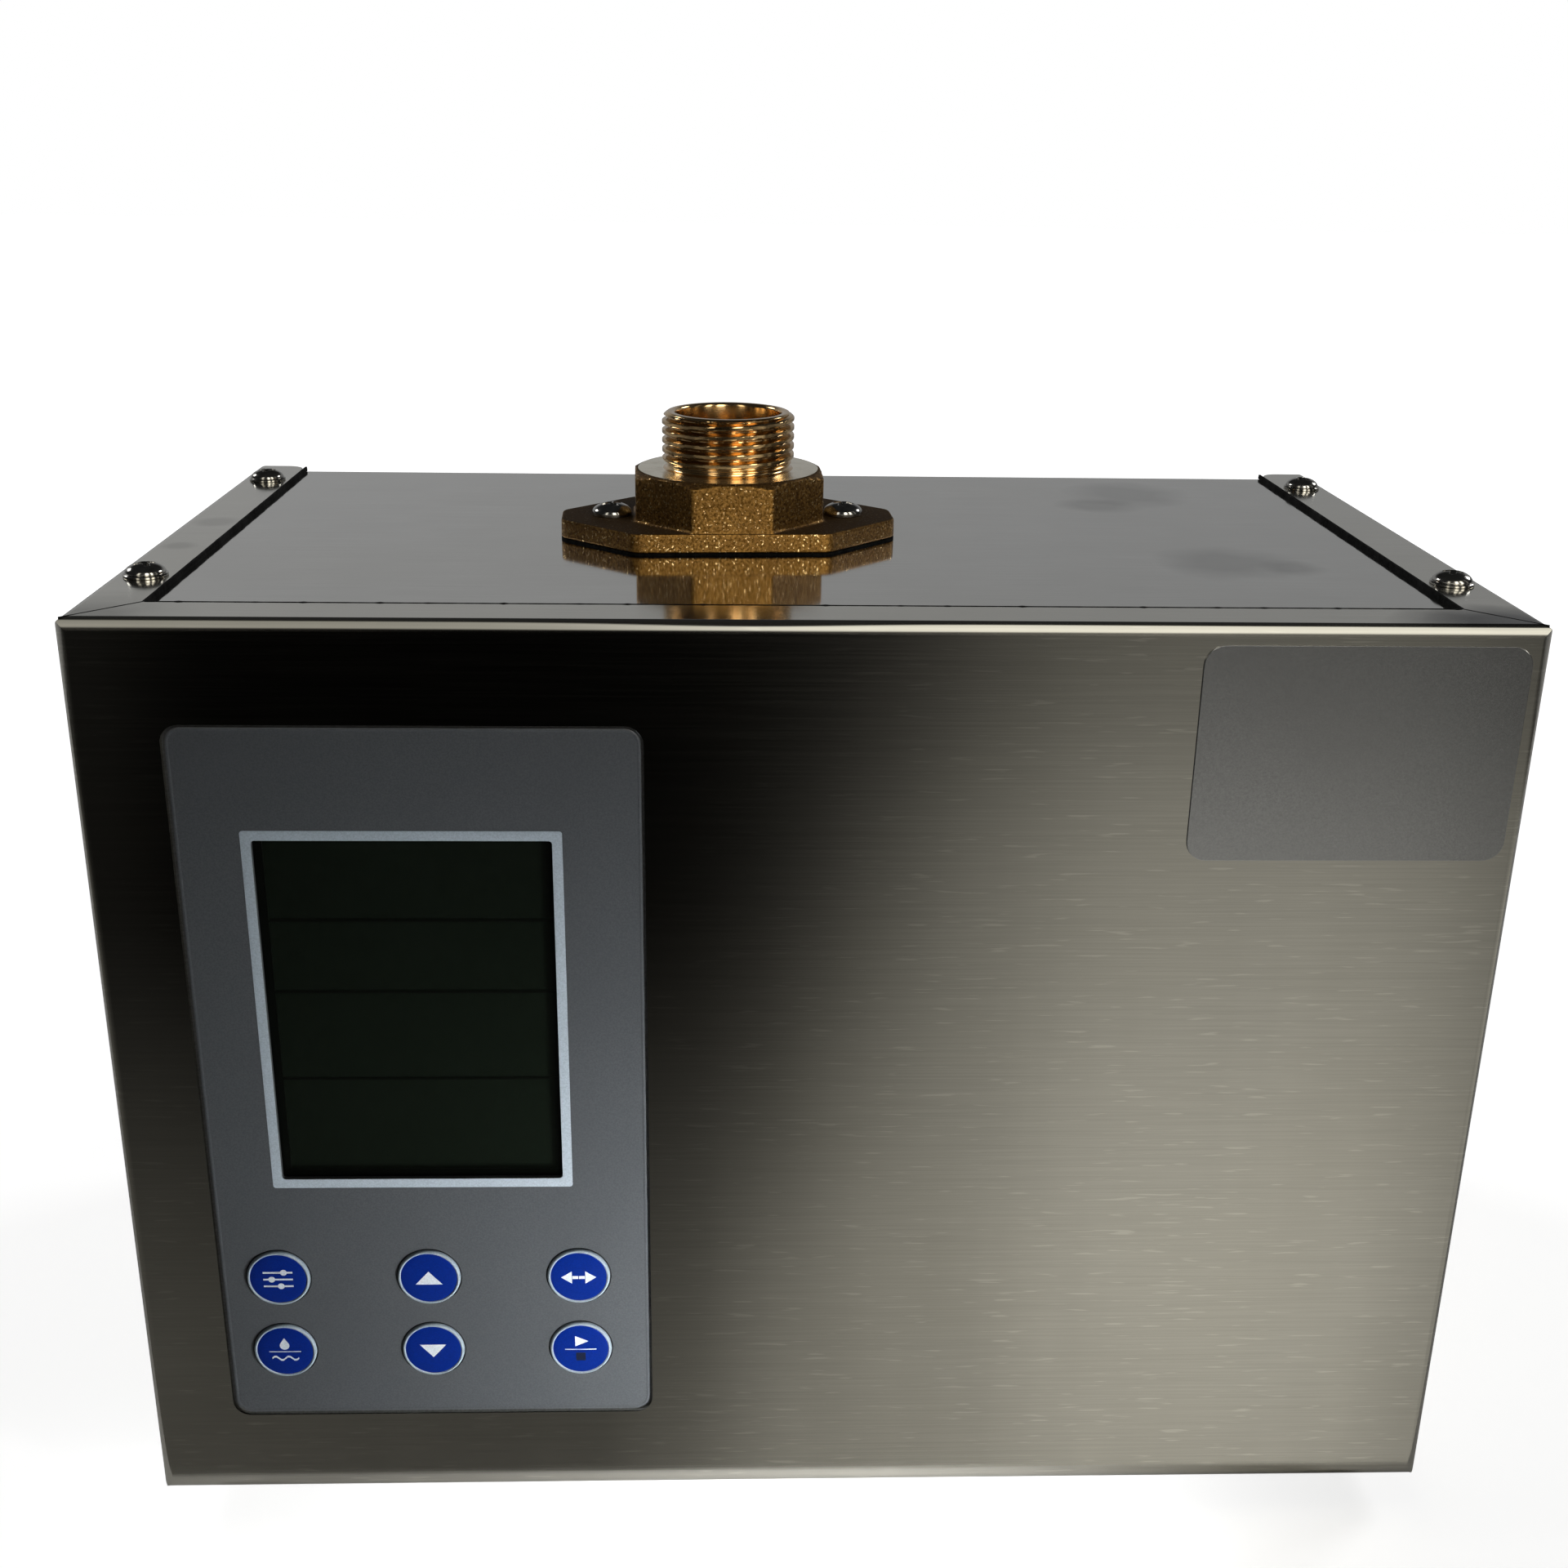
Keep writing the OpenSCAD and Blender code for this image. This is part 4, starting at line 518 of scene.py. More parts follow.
def ring_loft(rings, closed=True):
    """Parts from quads between rings of (points, slot); a closed loft joins the last to the first."""
    count = len(rings[0][0])
    verts = [p for ring, _ in rings for p in ring]
    faces, slots = [], []
    pairs = list(zip(range(len(rings) - 1), range(1, len(rings))))
    if closed:
        pairs.append((len(rings) - 1, 0))
    for a, b in pairs:
        for j in range(count):
            k = (j + 1) % count
            faces.append((a * count + j, a * count + k, b * count + k, b * count + j))
            slots.append(rings[b][1])
    if not closed:
        faces.append(tuple(reversed(range(count))))
        slots.append(rings[0][1])
        last = (len(rings) - 1) * count
        faces.append(tuple(range(last, last + count)))
        slots.append(rings[-1][1])
    return verts, faces, slots


def merge(pairs):
    """One set of parts from several, each moved by its own matrix."""
    verts, faces, slots = [], [], []
    for (v, f, s), matrix in pairs:
        start = len(verts)
        verts += [tuple(matrix @ Vector(p)) for p in v]
        faces += [tuple(i + start for i in face) for face in f]
        slots += s
    return verts, faces, slots


def mm_matrix(at, turn=Matrix.Identity(3)):
    """Matrix in millimetres, for parts that merge."""
    return Matrix.Translation(Vector(at)) @ turn.to_4x4()


def place(at, turn=Matrix.Identity(3)):
    """Matrix in metres, for an object, from a point in millimetres."""
    return Matrix.Translation(Vector(at) * MM) @ turn.to_4x4()


# The inlet's own Z axis points along -X and its X axis along +Z
INLET_TURN = Matrix(((0, 0, -1), (0, 1, 0), (1, 0, 0)))
# The panel's own Z axis points out of the front, along -Y
FRONT_TURN = Matrix(((1, 0, 0), (0, 0, -1), (0, 1, 0)))
OUTLET_TURN = Matrix.Rotation(math.radians(OUTLET_DEGREES), 3, "Z")
FITTINGS = (("outlet", OUTLET_AT, OUTLET_TURN), ("inlet", INLET_AT, INLET_TURN))


# Cast and turned ports

def thread_radius(z, angle, fade, cone):
    """Rounded thread: it fades in at the foot and ends in a cone at the mouth."""
    turn = (z / THREAD_PITCH - angle / (2 * math.pi)) % 1.0
    wedge = abs(2 * turn - 1)
    form = min(1.0, max(0.0, (wedge - 0.1) / 0.52))
    form = form * form * (3 - 2 * form) * 0.35 + form * 0.65
    r = THREAD_CREST_R - THREAD_DEPTH * (1 - form)
    return min(THREAD_NECK_R + (r - THREAD_NECK_R) * fade, cone)


def port_parts():
    """Flange, eight-sided body, threaded nipple and spigot as one closed skin round Z."""
    count = 384
    angles = [2 * math.pi * j / count for j in range(count)]
    corner = BODY_HALF_W / math.cos(math.radians(22.5))
    eight = [(corner * math.cos(math.radians(22.5 + 45 * k)),
              corner * math.sin(math.radians(22.5 + 45 * k))) for k in range(8)]
    flange = rounded_outline(PORT_FLANGE, 4)
    body = rounded_outline(eight, 1.2, 4)
    far = [reach(flange, a) for a in angles]
    side = [reach(body, a) for a in angles]
    cast, turned, faced = 0, 1, 2
    rings = []

    def ring(z, radius, slot):
        """Ring at a height, with one radius or one for each angle."""
        radii = radius if isinstance(radius, list) else [radius] * count
        rings.append(([(r * math.cos(a), r * math.sin(a), z) for r, a in zip(radii, angles)], slot))

    # Spigot with a groove for its sealing ring
    for z, r in ((SPIGOT_LOW, 14.2), (-20.0, SPIGOT_R), (-17.0, SPIGOT_R), (-16.8, SPIGOT_GROOVE_R),
                 (-14.4, SPIGOT_GROOVE_R), (-14.2, SPIGOT_R), (0.5, SPIGOT_R)):
        ring(z, r, turned)
    # Side of the flange, eased at both edges
    for z, less in ((0.5, 0.5), (0.6, 0.2), (0.85, 0.0), (1.2, 0.0), (4.4, 0.05), (4.75, 0.05), (5.05, 0.15)):
        ring(z, [r - less for r in far], cast)
    # Top of the flange and the foot of the body, where the two outlines may meet
    shelf_out = [r - 0.4 for r in far]
    shelf_in = [min(s + 0.9, f - 0.42) for s, f in zip(side, far)]
    keep = [min(0.35, (a - b) / 3) for a, b in zip(shelf_out, shelf_in)]
    ring(PORT_FLANGE_T, shelf_out, cast)
    ring(PORT_FLANGE_T, [r - k for r, k in zip(shelf_out, keep)], cast)
    ring(PORT_FLANGE_T, [r + k for r, k in zip(shelf_in, keep)], cast)
    ring(PORT_FLANGE_T, shelf_in, cast)
    for z, more, less in ((5.32, 0.45, 0.43), (5.6, 0.12, 0.44)):
        ring(z, [min(s + more, f - less) for s, f in zip(side, far)], cast)
    ring(6.2, side, cast)
    ring(6.6, side, cast)
    # Body with its corners turned off at 30 degrees, and its faced top
    for z in (9.0, 12.0, 15.0, 15.6, 16.0, 16.4, 16.8, 17.1):
        cone = BODY_TOP_R + (BODY_TOP - z) / math.tan(math.radians(30))
        ring(z, [min(s, cone) for s in side], cast)
    ring(BODY_TOP, BODY_TOP_R - 0.15, cast)
    for r in (BODY_TOP_R - 0.5, 16.8, 16.4):
        ring(BODY_TOP, r, faced)
    ring(17.45, 15.75, turned)
    ring(17.8, 15.4, turned)
    # Thread
    step, run_in, cone_slope = 0.15, 1.6, 1.05
    z = THREAD_LOW
    while z < THREAD_HIGH:
        fade = min(1.0, max(0.0, (z - THREAD_LOW) / run_in))
        cone = THREAD_NECK_R + max(0.0, NIPPLE_TOP - z) * cone_slope
        ring(z, [thread_radius(z, a, fade, cone) for a in angles], turned)
        z += step
    # Mouth, bore, and the step to the spigot's narrower bore
    for z, r in ((31.1, 15.45), (31.32, 15.3), (NIPPLE_TOP, 15.1), (NIPPLE_TOP, 13.75), (31.3, 13.6),
                 (30.9, 13.35), (30.6, NIPPLE_BORE_R), (22.0, NIPPLE_BORE_R), (12.0, NIPPLE_BORE_R),
                 (2.0, NIPPLE_BORE_R), (2.0, 10.8), (1.7, SPIGOT_BORE_R), (SPIGOT_LOW, SPIGOT_BORE_R)):
        ring(z, r, turned)
    return ring_loft(rings)


fitting = port_parts()
for word, at, turn in FITTINGS:
    name = word + "_port"
    port = make(name + "_detail", fitting, ["cast_brass", "turned_brass", "faced_brass_painted_bright"], place(at, turn),
                sharp=38)
    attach(port, "case")
    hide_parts(name)


# Crosshead pan screws

def pan_head(head_d, head_h, shank_d, shank_len, collar=0.0):
    """Screw with its seat at z = 0: domed head, maybe on a collar, cross recess, threaded shank below."""
    arm_corner = math.atan2(0.30, 1.0)
    angles = sorted({round(2 * math.pi * k / 72, 9) for k in range(72)}
                    | {round(q * math.pi / 2 + s * arm_corner, 9) % (2 * math.pi)
                       for q in range(4) for s in (-1, 1)})
    radius = head_d / 2
    shank_r = shank_d / 2
    dome_r = radius * 0.9 if collar else radius
    rim = collar + 0.15 if collar else head_h * 0.25
    rings = []

    def cross(a, arm, half):
        """Radius of a cross with arms of that length and half width."""
        c, s = abs(math.cos(a)), abs(math.sin(a))
        along = min(arm / max(c, 1e-6), half / max(s, 1e-6))
        up = min(arm / max(s, 1e-6), half / max(c, 1e-6))
        return max(along, up)

    def dome(r):
        return rim + (head_h - rim) * math.sqrt(max(0.0, 1 - (r / dome_r) ** 2))

    def ring(z, radius_at):
        """Ring at a height or along the dome, with one radius or one by angle."""
        points = []
        for a in angles:
            r = radius_at(a) if callable(radius_at) else radius_at
            points.append((r * math.cos(a), r * math.sin(a), z(r) if callable(z) else z))
        rings.append((points, 0))

    pitch = 0.8
    ring(-shank_len, shank_r - 0.9)
    for k in range(int(shank_len / pitch) - 1):
        z = -shank_len + 0.5 + k * pitch
        ring(z, shank_r - 0.4)
        ring(z + pitch * 0.4, shank_r)
        ring(z + pitch * 0.5, shank_r)
    ring(-0.4, shank_r - 0.4)
    ring(0.0, shank_r - 0.3)
    ring(0.0, radius - 0.15)
    ring(0.12, radius)
    if collar:
        ring(collar - 0.15, radius)
        ring(collar, radius - 0.2)
        ring(collar, dome_r - 0.05)
    ring(rim, dome_r)
    for share in (0.995, 0.975, 0.94, 0.89, 0.82, 0.73, 0.63):
        ring(dome, dome_r * share)
    arm, half = dome_r * 0.52, dome_r * 0.155
    for t in (0.35, 0.65, 0.85, 1.0):
        ring(dome, lambda a: dome_r * 0.63 * (1 - t) + (cross(a, arm, half) + 0.12) * t)
    ring(lambda r: dome(r) - 0.06, lambda a: cross(a, arm, half))
    ring(head_h * 0.38, lambda a: cross(a, arm * 0.42, half * 0.62))
    return ring_loft(rings, closed=False)


def screw_set(node, head, places):
    made = make(node + "_detail", merge([(head, m) for m in places]), ["screw_steel"], sharp=30)
    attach(made, "case")
    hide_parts(node)


flip = Matrix.Rotation(math.pi, 3, "X")
cover_places = []
for i, (side, y) in enumerate((side, y) for side in (-1, 1) for y in COVER_SCREW_Y):
    twist = Matrix.Rotation(0.5 + 1.1 * i, 3, "Z")
    cover_places.append(mm_matrix((side * COVER_SCREW_X, y, CASE_TOP), twist))
    cover_places.append(mm_matrix((side * COVER_SCREW_X, y, CASE_LOW), flip @ twist))
cover_head = pan_head(head_d=10.0, head_h=3.1, shank_d=5.0, shank_len=8.0, collar=0.7)
screw_set("cover_screws", cover_head, cover_places)

port_head = pan_head(head_d=10.0, head_h=3.2, shank_d=5.0, shank_len=11.4)
for word, at, turn in FITTINGS:
    places = []
    for i, side in enumerate((-1, 1)):
        seat = mm_matrix(at, turn) @ Matrix.Translation((side * PORT_SCREW_X, 0, PORT_FLANGE_T))
        places.append(seat @ Matrix.Rotation(0.35 + 0.9 * i, 4, "Z"))
    screw_set(word + "_screws", port_head, places)


# Panel prints, keys and the plate, drawn flat: x and z of the frame, then the distance out along -Y

FRONT_OUT = -FRONT_Y
OVERLAY_OUT = -OVERLAY_Y


def slab(outline, low, high, bevel=0.0, slot=0):
    """Closed plate from an outline, its upper edge eased by a bevel."""
    cx = sum(p[0] for p in outline) / len(outline)
    cy = sum(p[1] for p in outline) / len(outline)

    def ring(level, less=0.0):
        points = []
        for x, y in outline:
            keep = 1 - less / math.hypot(x - cx, y - cy) if less else 1
            points.append((cx + (x - cx) * keep, cy + (y - cy) * keep, level))
        return points, slot

    rings = [ring(low)]
    if bevel:
        rings += [ring(high - bevel), ring(high - bevel * 0.3, bevel * 0.3), ring(high, bevel),
                  ring(high, bevel * 1.8)]
    else:
        rings.append(ring(high))
    return ring_loft(rings, closed=False)


def band(outer, inner, low, high, eased):
    """Flat ring between two outlines with the same number of points, edges eased."""
    def ring(level, t):
        pairs = zip(outer, inner)
        return [(a[0] * (1 - t) + b[0] * t, a[1] * (1 - t) + b[1] * t, level) for a, b in pairs], 0

    return ring_loft([ring(low, 0), ring(high - eased, 0), ring(high, 0.12), ring(high, 0.88),
                      ring(high - eased, 1), ring(low, 1)])


def panel_outline(w, h, r, x, z, steps=6):
    return [(px + x, pz + z) for px, pz in rounded_outline(box_corners(w, h), r, steps)]


def front_piece(name, parts, materials, body="case", sharp=32):
    made = make(name, parts, materials, place((0, 0, 0), FRONT_TURN), sharp)
    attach(made, body)
    return made


border = band(panel_outline(BORDER_W, BORDER_H, 0.7, LAYOUT_X, LCD_Z),
              panel_outline(LCD_W, LCD_H, 0.8, LAYOUT_X, LCD_Z), OVERLAY_OUT - 0.02, OVERLAY_OUT + 0.08, 0.03)
front_piece("display_border_print", border, ["print_pale"])
edging = band(panel_outline(PANEL_W - 0.05, PANEL_H - 0.05, 3.5, PANEL_X, PANEL_Z),
              panel_outline(PANEL_W - 1.5, PANEL_H - 1.5, 2.9, PANEL_X, PANEL_Z),
              OVERLAY_OUT - 0.05, OVERLAY_OUT + 0.05, 0.05)
front_piece("overlay_edging", edging, ["overlay_grey"])

# Radius and distance out of a key's dome, from the middle to the ring's groove; the sign on it is thin
SIGN_T = 0.04
KEY_DOME = [(0.3, 88.2), (1.8, 88.2), (3.5, 88.17), (5.0, 88.11), (6.0, 88.04)]


def key_parts(x, z):
    """Embossed key: stem, collar and skirt behind, pale ring, shallow groove, blue dome."""
    ring_slot, blue_slot, back_slot = 0, 1, 2
    profile = [(r, out, back_slot) for r, out in ((3.0, 81.1), (3.0, 83.0), (8.7, 83.0), (8.7, 84.0),
                                                  (7.5, 84.0), (7.5, 87.35))]
    profile += [(r, out, ring_slot) for r, out in ((7.48, 87.6), (7.4, 87.85), (7.25, 88.05), (7.05, 88.15),
                                                   (6.88, 88.13), (6.76, 88.02), (6.7, 87.95))]
    profile += [(r, out, blue_slot) for r, out in [(6.62, 87.93), (6.5, 87.97)] + KEY_DOME[::-1]]
    turns = [2 * math.pi * k / 96 for k in range(96)]
    rings = [([(x + r * math.cos(a), z + r * math.sin(a), out) for a in turns], slot)
             for r, out, slot in profile]
    return ring_loft(rings, closed=False)


def drape(parts, x, z):
    """Lays a thin print on a key's dome."""
    table = [(0.0, KEY_DOME[0][1])] + KEY_DOME[1:] + [(6.7, 87.95)]
    verts = []
    for px, pz, lift in parts[0]:
        r = math.hypot(px - x, pz - z)
        out = table[-1][1]
        for (r0, out0), (r1, out1) in zip(table, table[1:]):
            if r <= r1:
                out = out0 + (out1 - out0) * (r - r0) / (r1 - r0)
                break
        verts.append((px, pz, out + lift))
    return verts, parts[1], parts[2]


def symbol(kind, x, z):
    """Plain signs of the keys: list of (outline, slot), slot 0 pale and 1 dark."""
    def bar(w, h, dx, dz, slot=0):
        corners = [(-w / 2, -h / 2), (w / 2, -h / 2), (w / 2, h / 2), (-w / 2, h / 2)]
        return [(x + dx + px, z + dz + pz) for px, pz in corners], slot

    def poly(points):
        return [(x + px, z + pz) for px, pz in points], 0

    if kind == "up":
        return [poly([(-3.2, -1.7), (3.2, -1.7), (0, 1.9)])]
    if kind == "down":
        return [poly([(-3.2, 1.7), (0, -1.9), (3.2, 1.7)])]
    if kind == "shift":
        return [poly([(-4.2, 0), (-1.6, -1.7), (-1.6, 1.7)]), bar(1.4, 0.8, -0.8, 0),
                poly([(4.2, 0), (1.6, 1.7), (1.6, -1.7)]), bar(1.4, 0.8, 0.8, 0)]
    if kind == "set":
        knobs = []
        for dz, dx in ((1.9, 1.4), (0.0, -1.5), (-1.9, 0.6)):
            knobs += [bar(7.0, 0.45, 0, dz), poly([(dx + 0.8 * math.cos(a), dz + 0.8 * math.sin(a))
                                                   for a in [math.pi * k / 8 for k in range(16)]])]
        return knobs
    if kind == "mode":
        drop = [(0.0, 3.9)] + [(1.15 * math.cos(a), 1.75 + 1.15 * math.sin(a))
                               for a in [math.radians(28 - k * 236 / 12) for k in range(13)]]
        wave = [(-3.2 + k * 6.4 / 12, -1.9 + 0.55 * math.sin(k * math.pi / 3)) for k in range(13)]
        wave = [(px, pz - 0.25) for px, pz in wave] + [(px, pz + 0.25) for px, pz in reversed(wave)]
        return [poly(list(reversed(drop))), bar(7.6, 0.22, 0, 0), poly(wave)]
    return [poly([(-1.3, 0.9), (1.9, 2.35), (-1.3, 3.8)]), bar(7.6, 0.22, 0, 0), bar(2.3, 2.3, 0, -2.1, 1)]


def sign_parts(kind, x, z):
    pairs = []
    for outline, slot in symbol(kind, x, z):
        fine = []
        for a, b in zip(outline, outline[1:] + outline[:1]):
            fine.append(a)
            fine.append(((a[0] + b[0]) / 2, (a[1] + b[1]) / 2))
        pairs.append((slab(fine, 0.0, SIGN_T, slot=slot), Matrix.Identity(4)))
    return drape(merge(pairs), x, z)


KEY_PLACES = {"set": (-1, 0), "up": (0, 0), "shift": (1, 0), "mode": (-1, 1), "down": (0, 1), "run": (1, 1)}
for word, (col, row) in KEY_PLACES.items():
    name = "key_" + word
    x = LAYOUT_X + col * KEY_PITCH_X
    z = KEY_Z - row * KEY_PITCH_Z
    cap = front_piece(name + "_cap", key_parts(x, z), ["key_ring", "key_blue", "black_plastic"],
                      name + "_button")
    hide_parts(name)
    front_piece(name + "_sign", sign_parts(word, x, z), ["print_white", "print_dark"],
                name + "_button", sharp=60)

plate = slab(panel_outline(PLATE_W, PLATE_H, 4.5, PLATE_X, PLATE_Z, 8),
             FRONT_OUT + 0.01, FRONT_OUT + 0.3, bevel=0.1)
plate_piece = front_piece("bare_plate", plate, ["plate_silver"])
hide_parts("nameplate")


# Spring of the check valve, built once at its CAD length; the real one shortens as the disc lifts

COIL_R = 6.0
COIL_WIRE_R = 0.55
COIL_TURNS = 4


def coil(low, high, per_turn=48, sides=12):
    """Round wire along a helix round Z, between two heights of its own centre line."""
    steps = COIL_TURNS * per_turn
    rings = []
    for i in range(steps + 1):
        a = 2 * math.pi * i / per_turn
        z = low + (high - low) * i / steps
        points = []
        for j in range(sides):
            b = 2 * math.pi * j / sides
            r = COIL_R + COIL_WIRE_R * math.cos(b)
            points.append((r * math.cos(a), r * math.sin(a), z + COIL_WIRE_R * math.sin(b)))
        rings.append((points, 0))
    return ring_loft(rings, closed=False)


spring_low, spring_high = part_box("valve_spring")
spring_parts = coil(spring_low.z / MM + COIL_WIRE_R, spring_high.z / MM - COIL_WIRE_R)
spring = make("valve_spring_coil", spring_parts, ["spring_wire"], place((OUTLET_AT[0], OUTLET_AT[1], 0.0)))
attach(spring, "case")
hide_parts("valve_spring")
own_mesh(spring)


# Dark beads along the flanges of the cover, top side: along the side flanges they are painted shade, a black
# strip for the shadow and dark reflection at the flange edges; along the mitres and the front flange they are
# dark joint lines

def bead(name, path, width, low, high, wander, blot=0.0):
    """Low bead along a path of top-view points; its sides wander a little, with a blot here and there."""
    verts, faces = [], []
    for k, (x, y) in enumerate(path):
        nx, ny = path[min(k + 1, len(path) - 1)]
        lx, ly = path[max(k - 1, 0)]
        along = Vector((nx - lx, ny - ly)).normalized()
        half = width / 2 + wander * (math.sin(k * 1.7) + math.sin(k * 0.61 + 2)) / 2
        half += blot * max(0.0, math.sin(k * 0.23) * math.sin(k * 0.97 + 1) - 0.75)
        for across, z in ((-half, low), (-half * 0.8, high), (half * 0.8, high), (half, low)):
            verts.append((x - along.y * across, y + along.x * across, z))
    for k in range(len(path) - 1):
        for j in range(4):
            i = (j + 1) % 4
            faces.append((4 * k + j, 4 * k + i, 4 * k + 4 + i, 4 * k + 4 + j))
    faces += [(0, 1, 2, 3), tuple(4 * len(path) - 4 + j for j in range(4))]
    made = make(name, (verts, faces, [0] * len(faces)), ["seal_and_shade_black"])
    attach(made, "case")


def straight(x0, y0, x1, y1, steps):
    return [(x0 + (x1 - x0) * k / steps, y0 + (y1 - y0) * k / steps) for k in range(steps + 1)]


FLANGE_X, FLANGE_Y = CASE_HALF_W - FLANGE_W, FRONT_Y + FLANGE_W
# The side flanges' beads are painted shade: a black strip where the flange edge casts shadow and reflects
# dark.
for side, word in ((-1, "left"), (1, "right")):
    bead(f"flange_shade_bead_{word}",
         straight(side * (FLANGE_X - 0.3), FLANGE_Y + 0.4, side * (FLANGE_X - 0.3), 87.0, 80),
         width=0.7, low=CHASSIS_TOP, high=CASE_TOP, wander=0.12)
    bead(f"mitre_bead_{word}",
         straight(side * 156.8, -86.8, side * (FLANGE_X - 0.1), FLANGE_Y + 0.1, 12),
         width=0.45, low=CHASSIS_TOP + 0.2, high=CASE_TOP + 0.04, wander=0.05)
bead("front_bead", straight(-FLANGE_X + 0.6, FLANGE_Y + 0.25, FLANGE_X - 0.6, FLANGE_Y + 0.25, 280),
     width=0.3, low=CHASSIS_TOP, high=CASE_TOP + 0.1, wander=0.06, blot=2.0)


# Materials of the nodes that stay: by the record's slot, apart from a few nodes

node_looks = {"chassis": "top_steel", "outlet_gasket": "seal_and_shade_black", "inlet_gasket": "seal_and_shade_black",
              "impeller": "bronze", "impeller_nut": "nut_steel"}
slot_looks = {"brushed_stainless": "front_steel"}
slot_of = {part["node"]: part["material_slot"] for part in frame["record"]["subparts"]}
for name, node in frame["nodes"].items():
    slot = slot_of[name]
    look = looks[node_looks.get(name, slot_looks.get(slot, slot))]
    materials = node.data.materials
    if not materials:
        materials.append(look)
    for i in range(len(materials)):
        materials[i] = look


# Camera at the photo's angle

EYE_AT = (-19.29, -452.67, 330.26)
EYE_YAW, EYE_PITCH, EYE_ROLL = 2.097, 20.196, -0.864
PHOTO_W = 1920.0
FOCAL_PX = 2202.0
SENSOR_W = 36.0


def aim(yaw, pitch, roll):
    forward = Vector((math.sin(yaw) * math.cos(pitch), math.cos(yaw) * math.cos(pitch), -math.sin(pitch)))
    level = Vector((math.cos(yaw), -math.sin(yaw), 0))
    down = forward.cross(level)
    right = math.cos(roll) * level + math.sin(roll) * down
    low = -math.sin(roll) * level + math.cos(roll) * down
    return Matrix((right, -low, -forward)).transposed()


camera_data = bpy.data.cameras.new("camera")
camera_data.sensor_fit = "HORIZONTAL"
camera_data.sensor_width = SENSOR_W
camera_data.lens = FOCAL_PX / PHOTO_W * SENSOR_W
camera_data.clip_start = 0.01
camera = add("camera", camera_data)
camera.matrix_world = place(EYE_AT, aim(*(math.radians(d) for d in (EYE_YAW, EYE_PITCH, EYE_ROLL))))
bpy.context.scene.camera = camera


# Studio: pale floor, and two graded cards that only reflections see

FLOOR_HALF = 6
floor_look = Shader("floor_paper", (0.86, 0.86, 0.86), Roughness=0.7)
floor_look.set("Base Color", floor_look.mix(floor_look.noise(3, 2), (0.85, 0.85, 0.85), (0.88, 0.88, 0.88)))
floor_look.set("Emission Color", (1, 1, 1, 1))
floor_seen = floor_look.node("ShaderNodeLightPath").outputs["Is Camera Ray"]
away = floor_look.node("ShaderNodeVectorMath", {"operation": "LENGTH"}, _0=floor_look.coords)
floor_glow = floor_look.span(away.outputs["Value"], 0.25, 0.9, 0.78, 1.0)
floor_look.set("Emission Strength", floor_look.math("MULTIPLY", floor_seen, floor_glow))
floor_mesh = bpy.data.meshes.new("floor")
floor_mesh.from_pydata([(x * FLOOR_HALF, y * FLOOR_HALF, 0) for x, y in ((-1, -1), (1, -1), (1, 1), (-1, 1))],
                       [], [(0, 1, 2, 3)])
floor_mesh.materials.append(floor_look.material)
floor = add("floor", floor_mesh)


def ease(low, high, value):
    share = min(1.0, max(0.0, (value - low) / (high - low)))
    return share * share * (3 - 2 * share)


def rise(at, soft, value):
    """Soft step from 0 to 1 around a place."""
    return 1 / (1 + math.exp(-(value - at) / soft))


def card_glow(x, z):
    """Light that the front sheet sends back at a point of it: dark at the upper left, bright low right."""
    up = min(1.0, max(0.0, z / 0.232))
    bright = 0.36 * rise(-0.0195 + 0.0512 * up, 0.011, x) + 0.245 * rise(0.052, 0.008, x)
    bright *= (1 - 0.65 * up ** 1.9) * (1 - 0.45 * ease(0.12, 0.17, x)) * (1 - 0.3 * ease(0.75, 1.0, up))
    bright *= 0.82 + 0.18 * ease(0.0, 0.4, up)
    low_left = 0.08 * (1 - ease(0.1, 0.75, up))
    return 0.0005 + bright + low_left + 0.008 * ease(0.13, 0.155, -x)


def bend_glow(x, angle):
    """Light that the upper bend of the front sends back, by place and by degrees above level."""
    bright = 0.42 + 0.9 * rise(-0.03, 0.014, x)
    upper = 77 - 24 * math.exp(-((x + 0.015) / 0.03) ** 2)
    start = ease(12, 28, angle)
    below = card_glow(x, 0.232) * (1 - start) + 0.02 * start
    return below + bright * start * (1 - ease(upper - 6, upper + 6, angle))


def glow_card(name, rows, glow):
    """Sheet through rows of points, each with its own light, seen by reflections only."""
    wide = len(rows[0])
    faces = [(r * wide + c, r * wide + c + 1, (r + 1) * wide + c + 1, (r + 1) * wide + c)
             for r in range(len(rows) - 1) for c in range(wide - 1)]
    mesh = bpy.data.meshes.new(name)
    mesh.from_pydata([point for row in rows for point in row], [], faces)
    paint = mesh.color_attributes.new("glow", "FLOAT_COLOR", "POINT")
    for k, level in enumerate(glow):
        paint.data[k].color = (level, level * 0.975, level * 0.89, 1)
    material = bpy.data.materials.new(name + "_glow")
    material.use_nodes = True
    material.node_tree.nodes.clear()
    nodes = Nodes(material.node_tree)
    read = nodes.node("ShaderNodeAttribute", {"attribute_name": "glow"})
    light = nodes.node("ShaderNodeEmission", Color=read.outputs["Color"])
    nodes.node("ShaderNodeOutputMaterial", Surface=light.outputs[0])
    mesh.materials.append(material)
    card = add(name, mesh)
    for kind in ("camera", "diffuse", "shadow", "transmission", "volume_scatter"):
        setattr(card, "visible_" + kind, False)


# In metres: the front sheet, the eye that the floor card is drawn for, and the middle of the upper bend
SHEET_Y = -0.088
CARD_EYE = (-0.019, -0.453, 0.330)
BEND_Y, BEND_Z = -0.0855, 0.2295
EDGE_CARD_R = 0.008


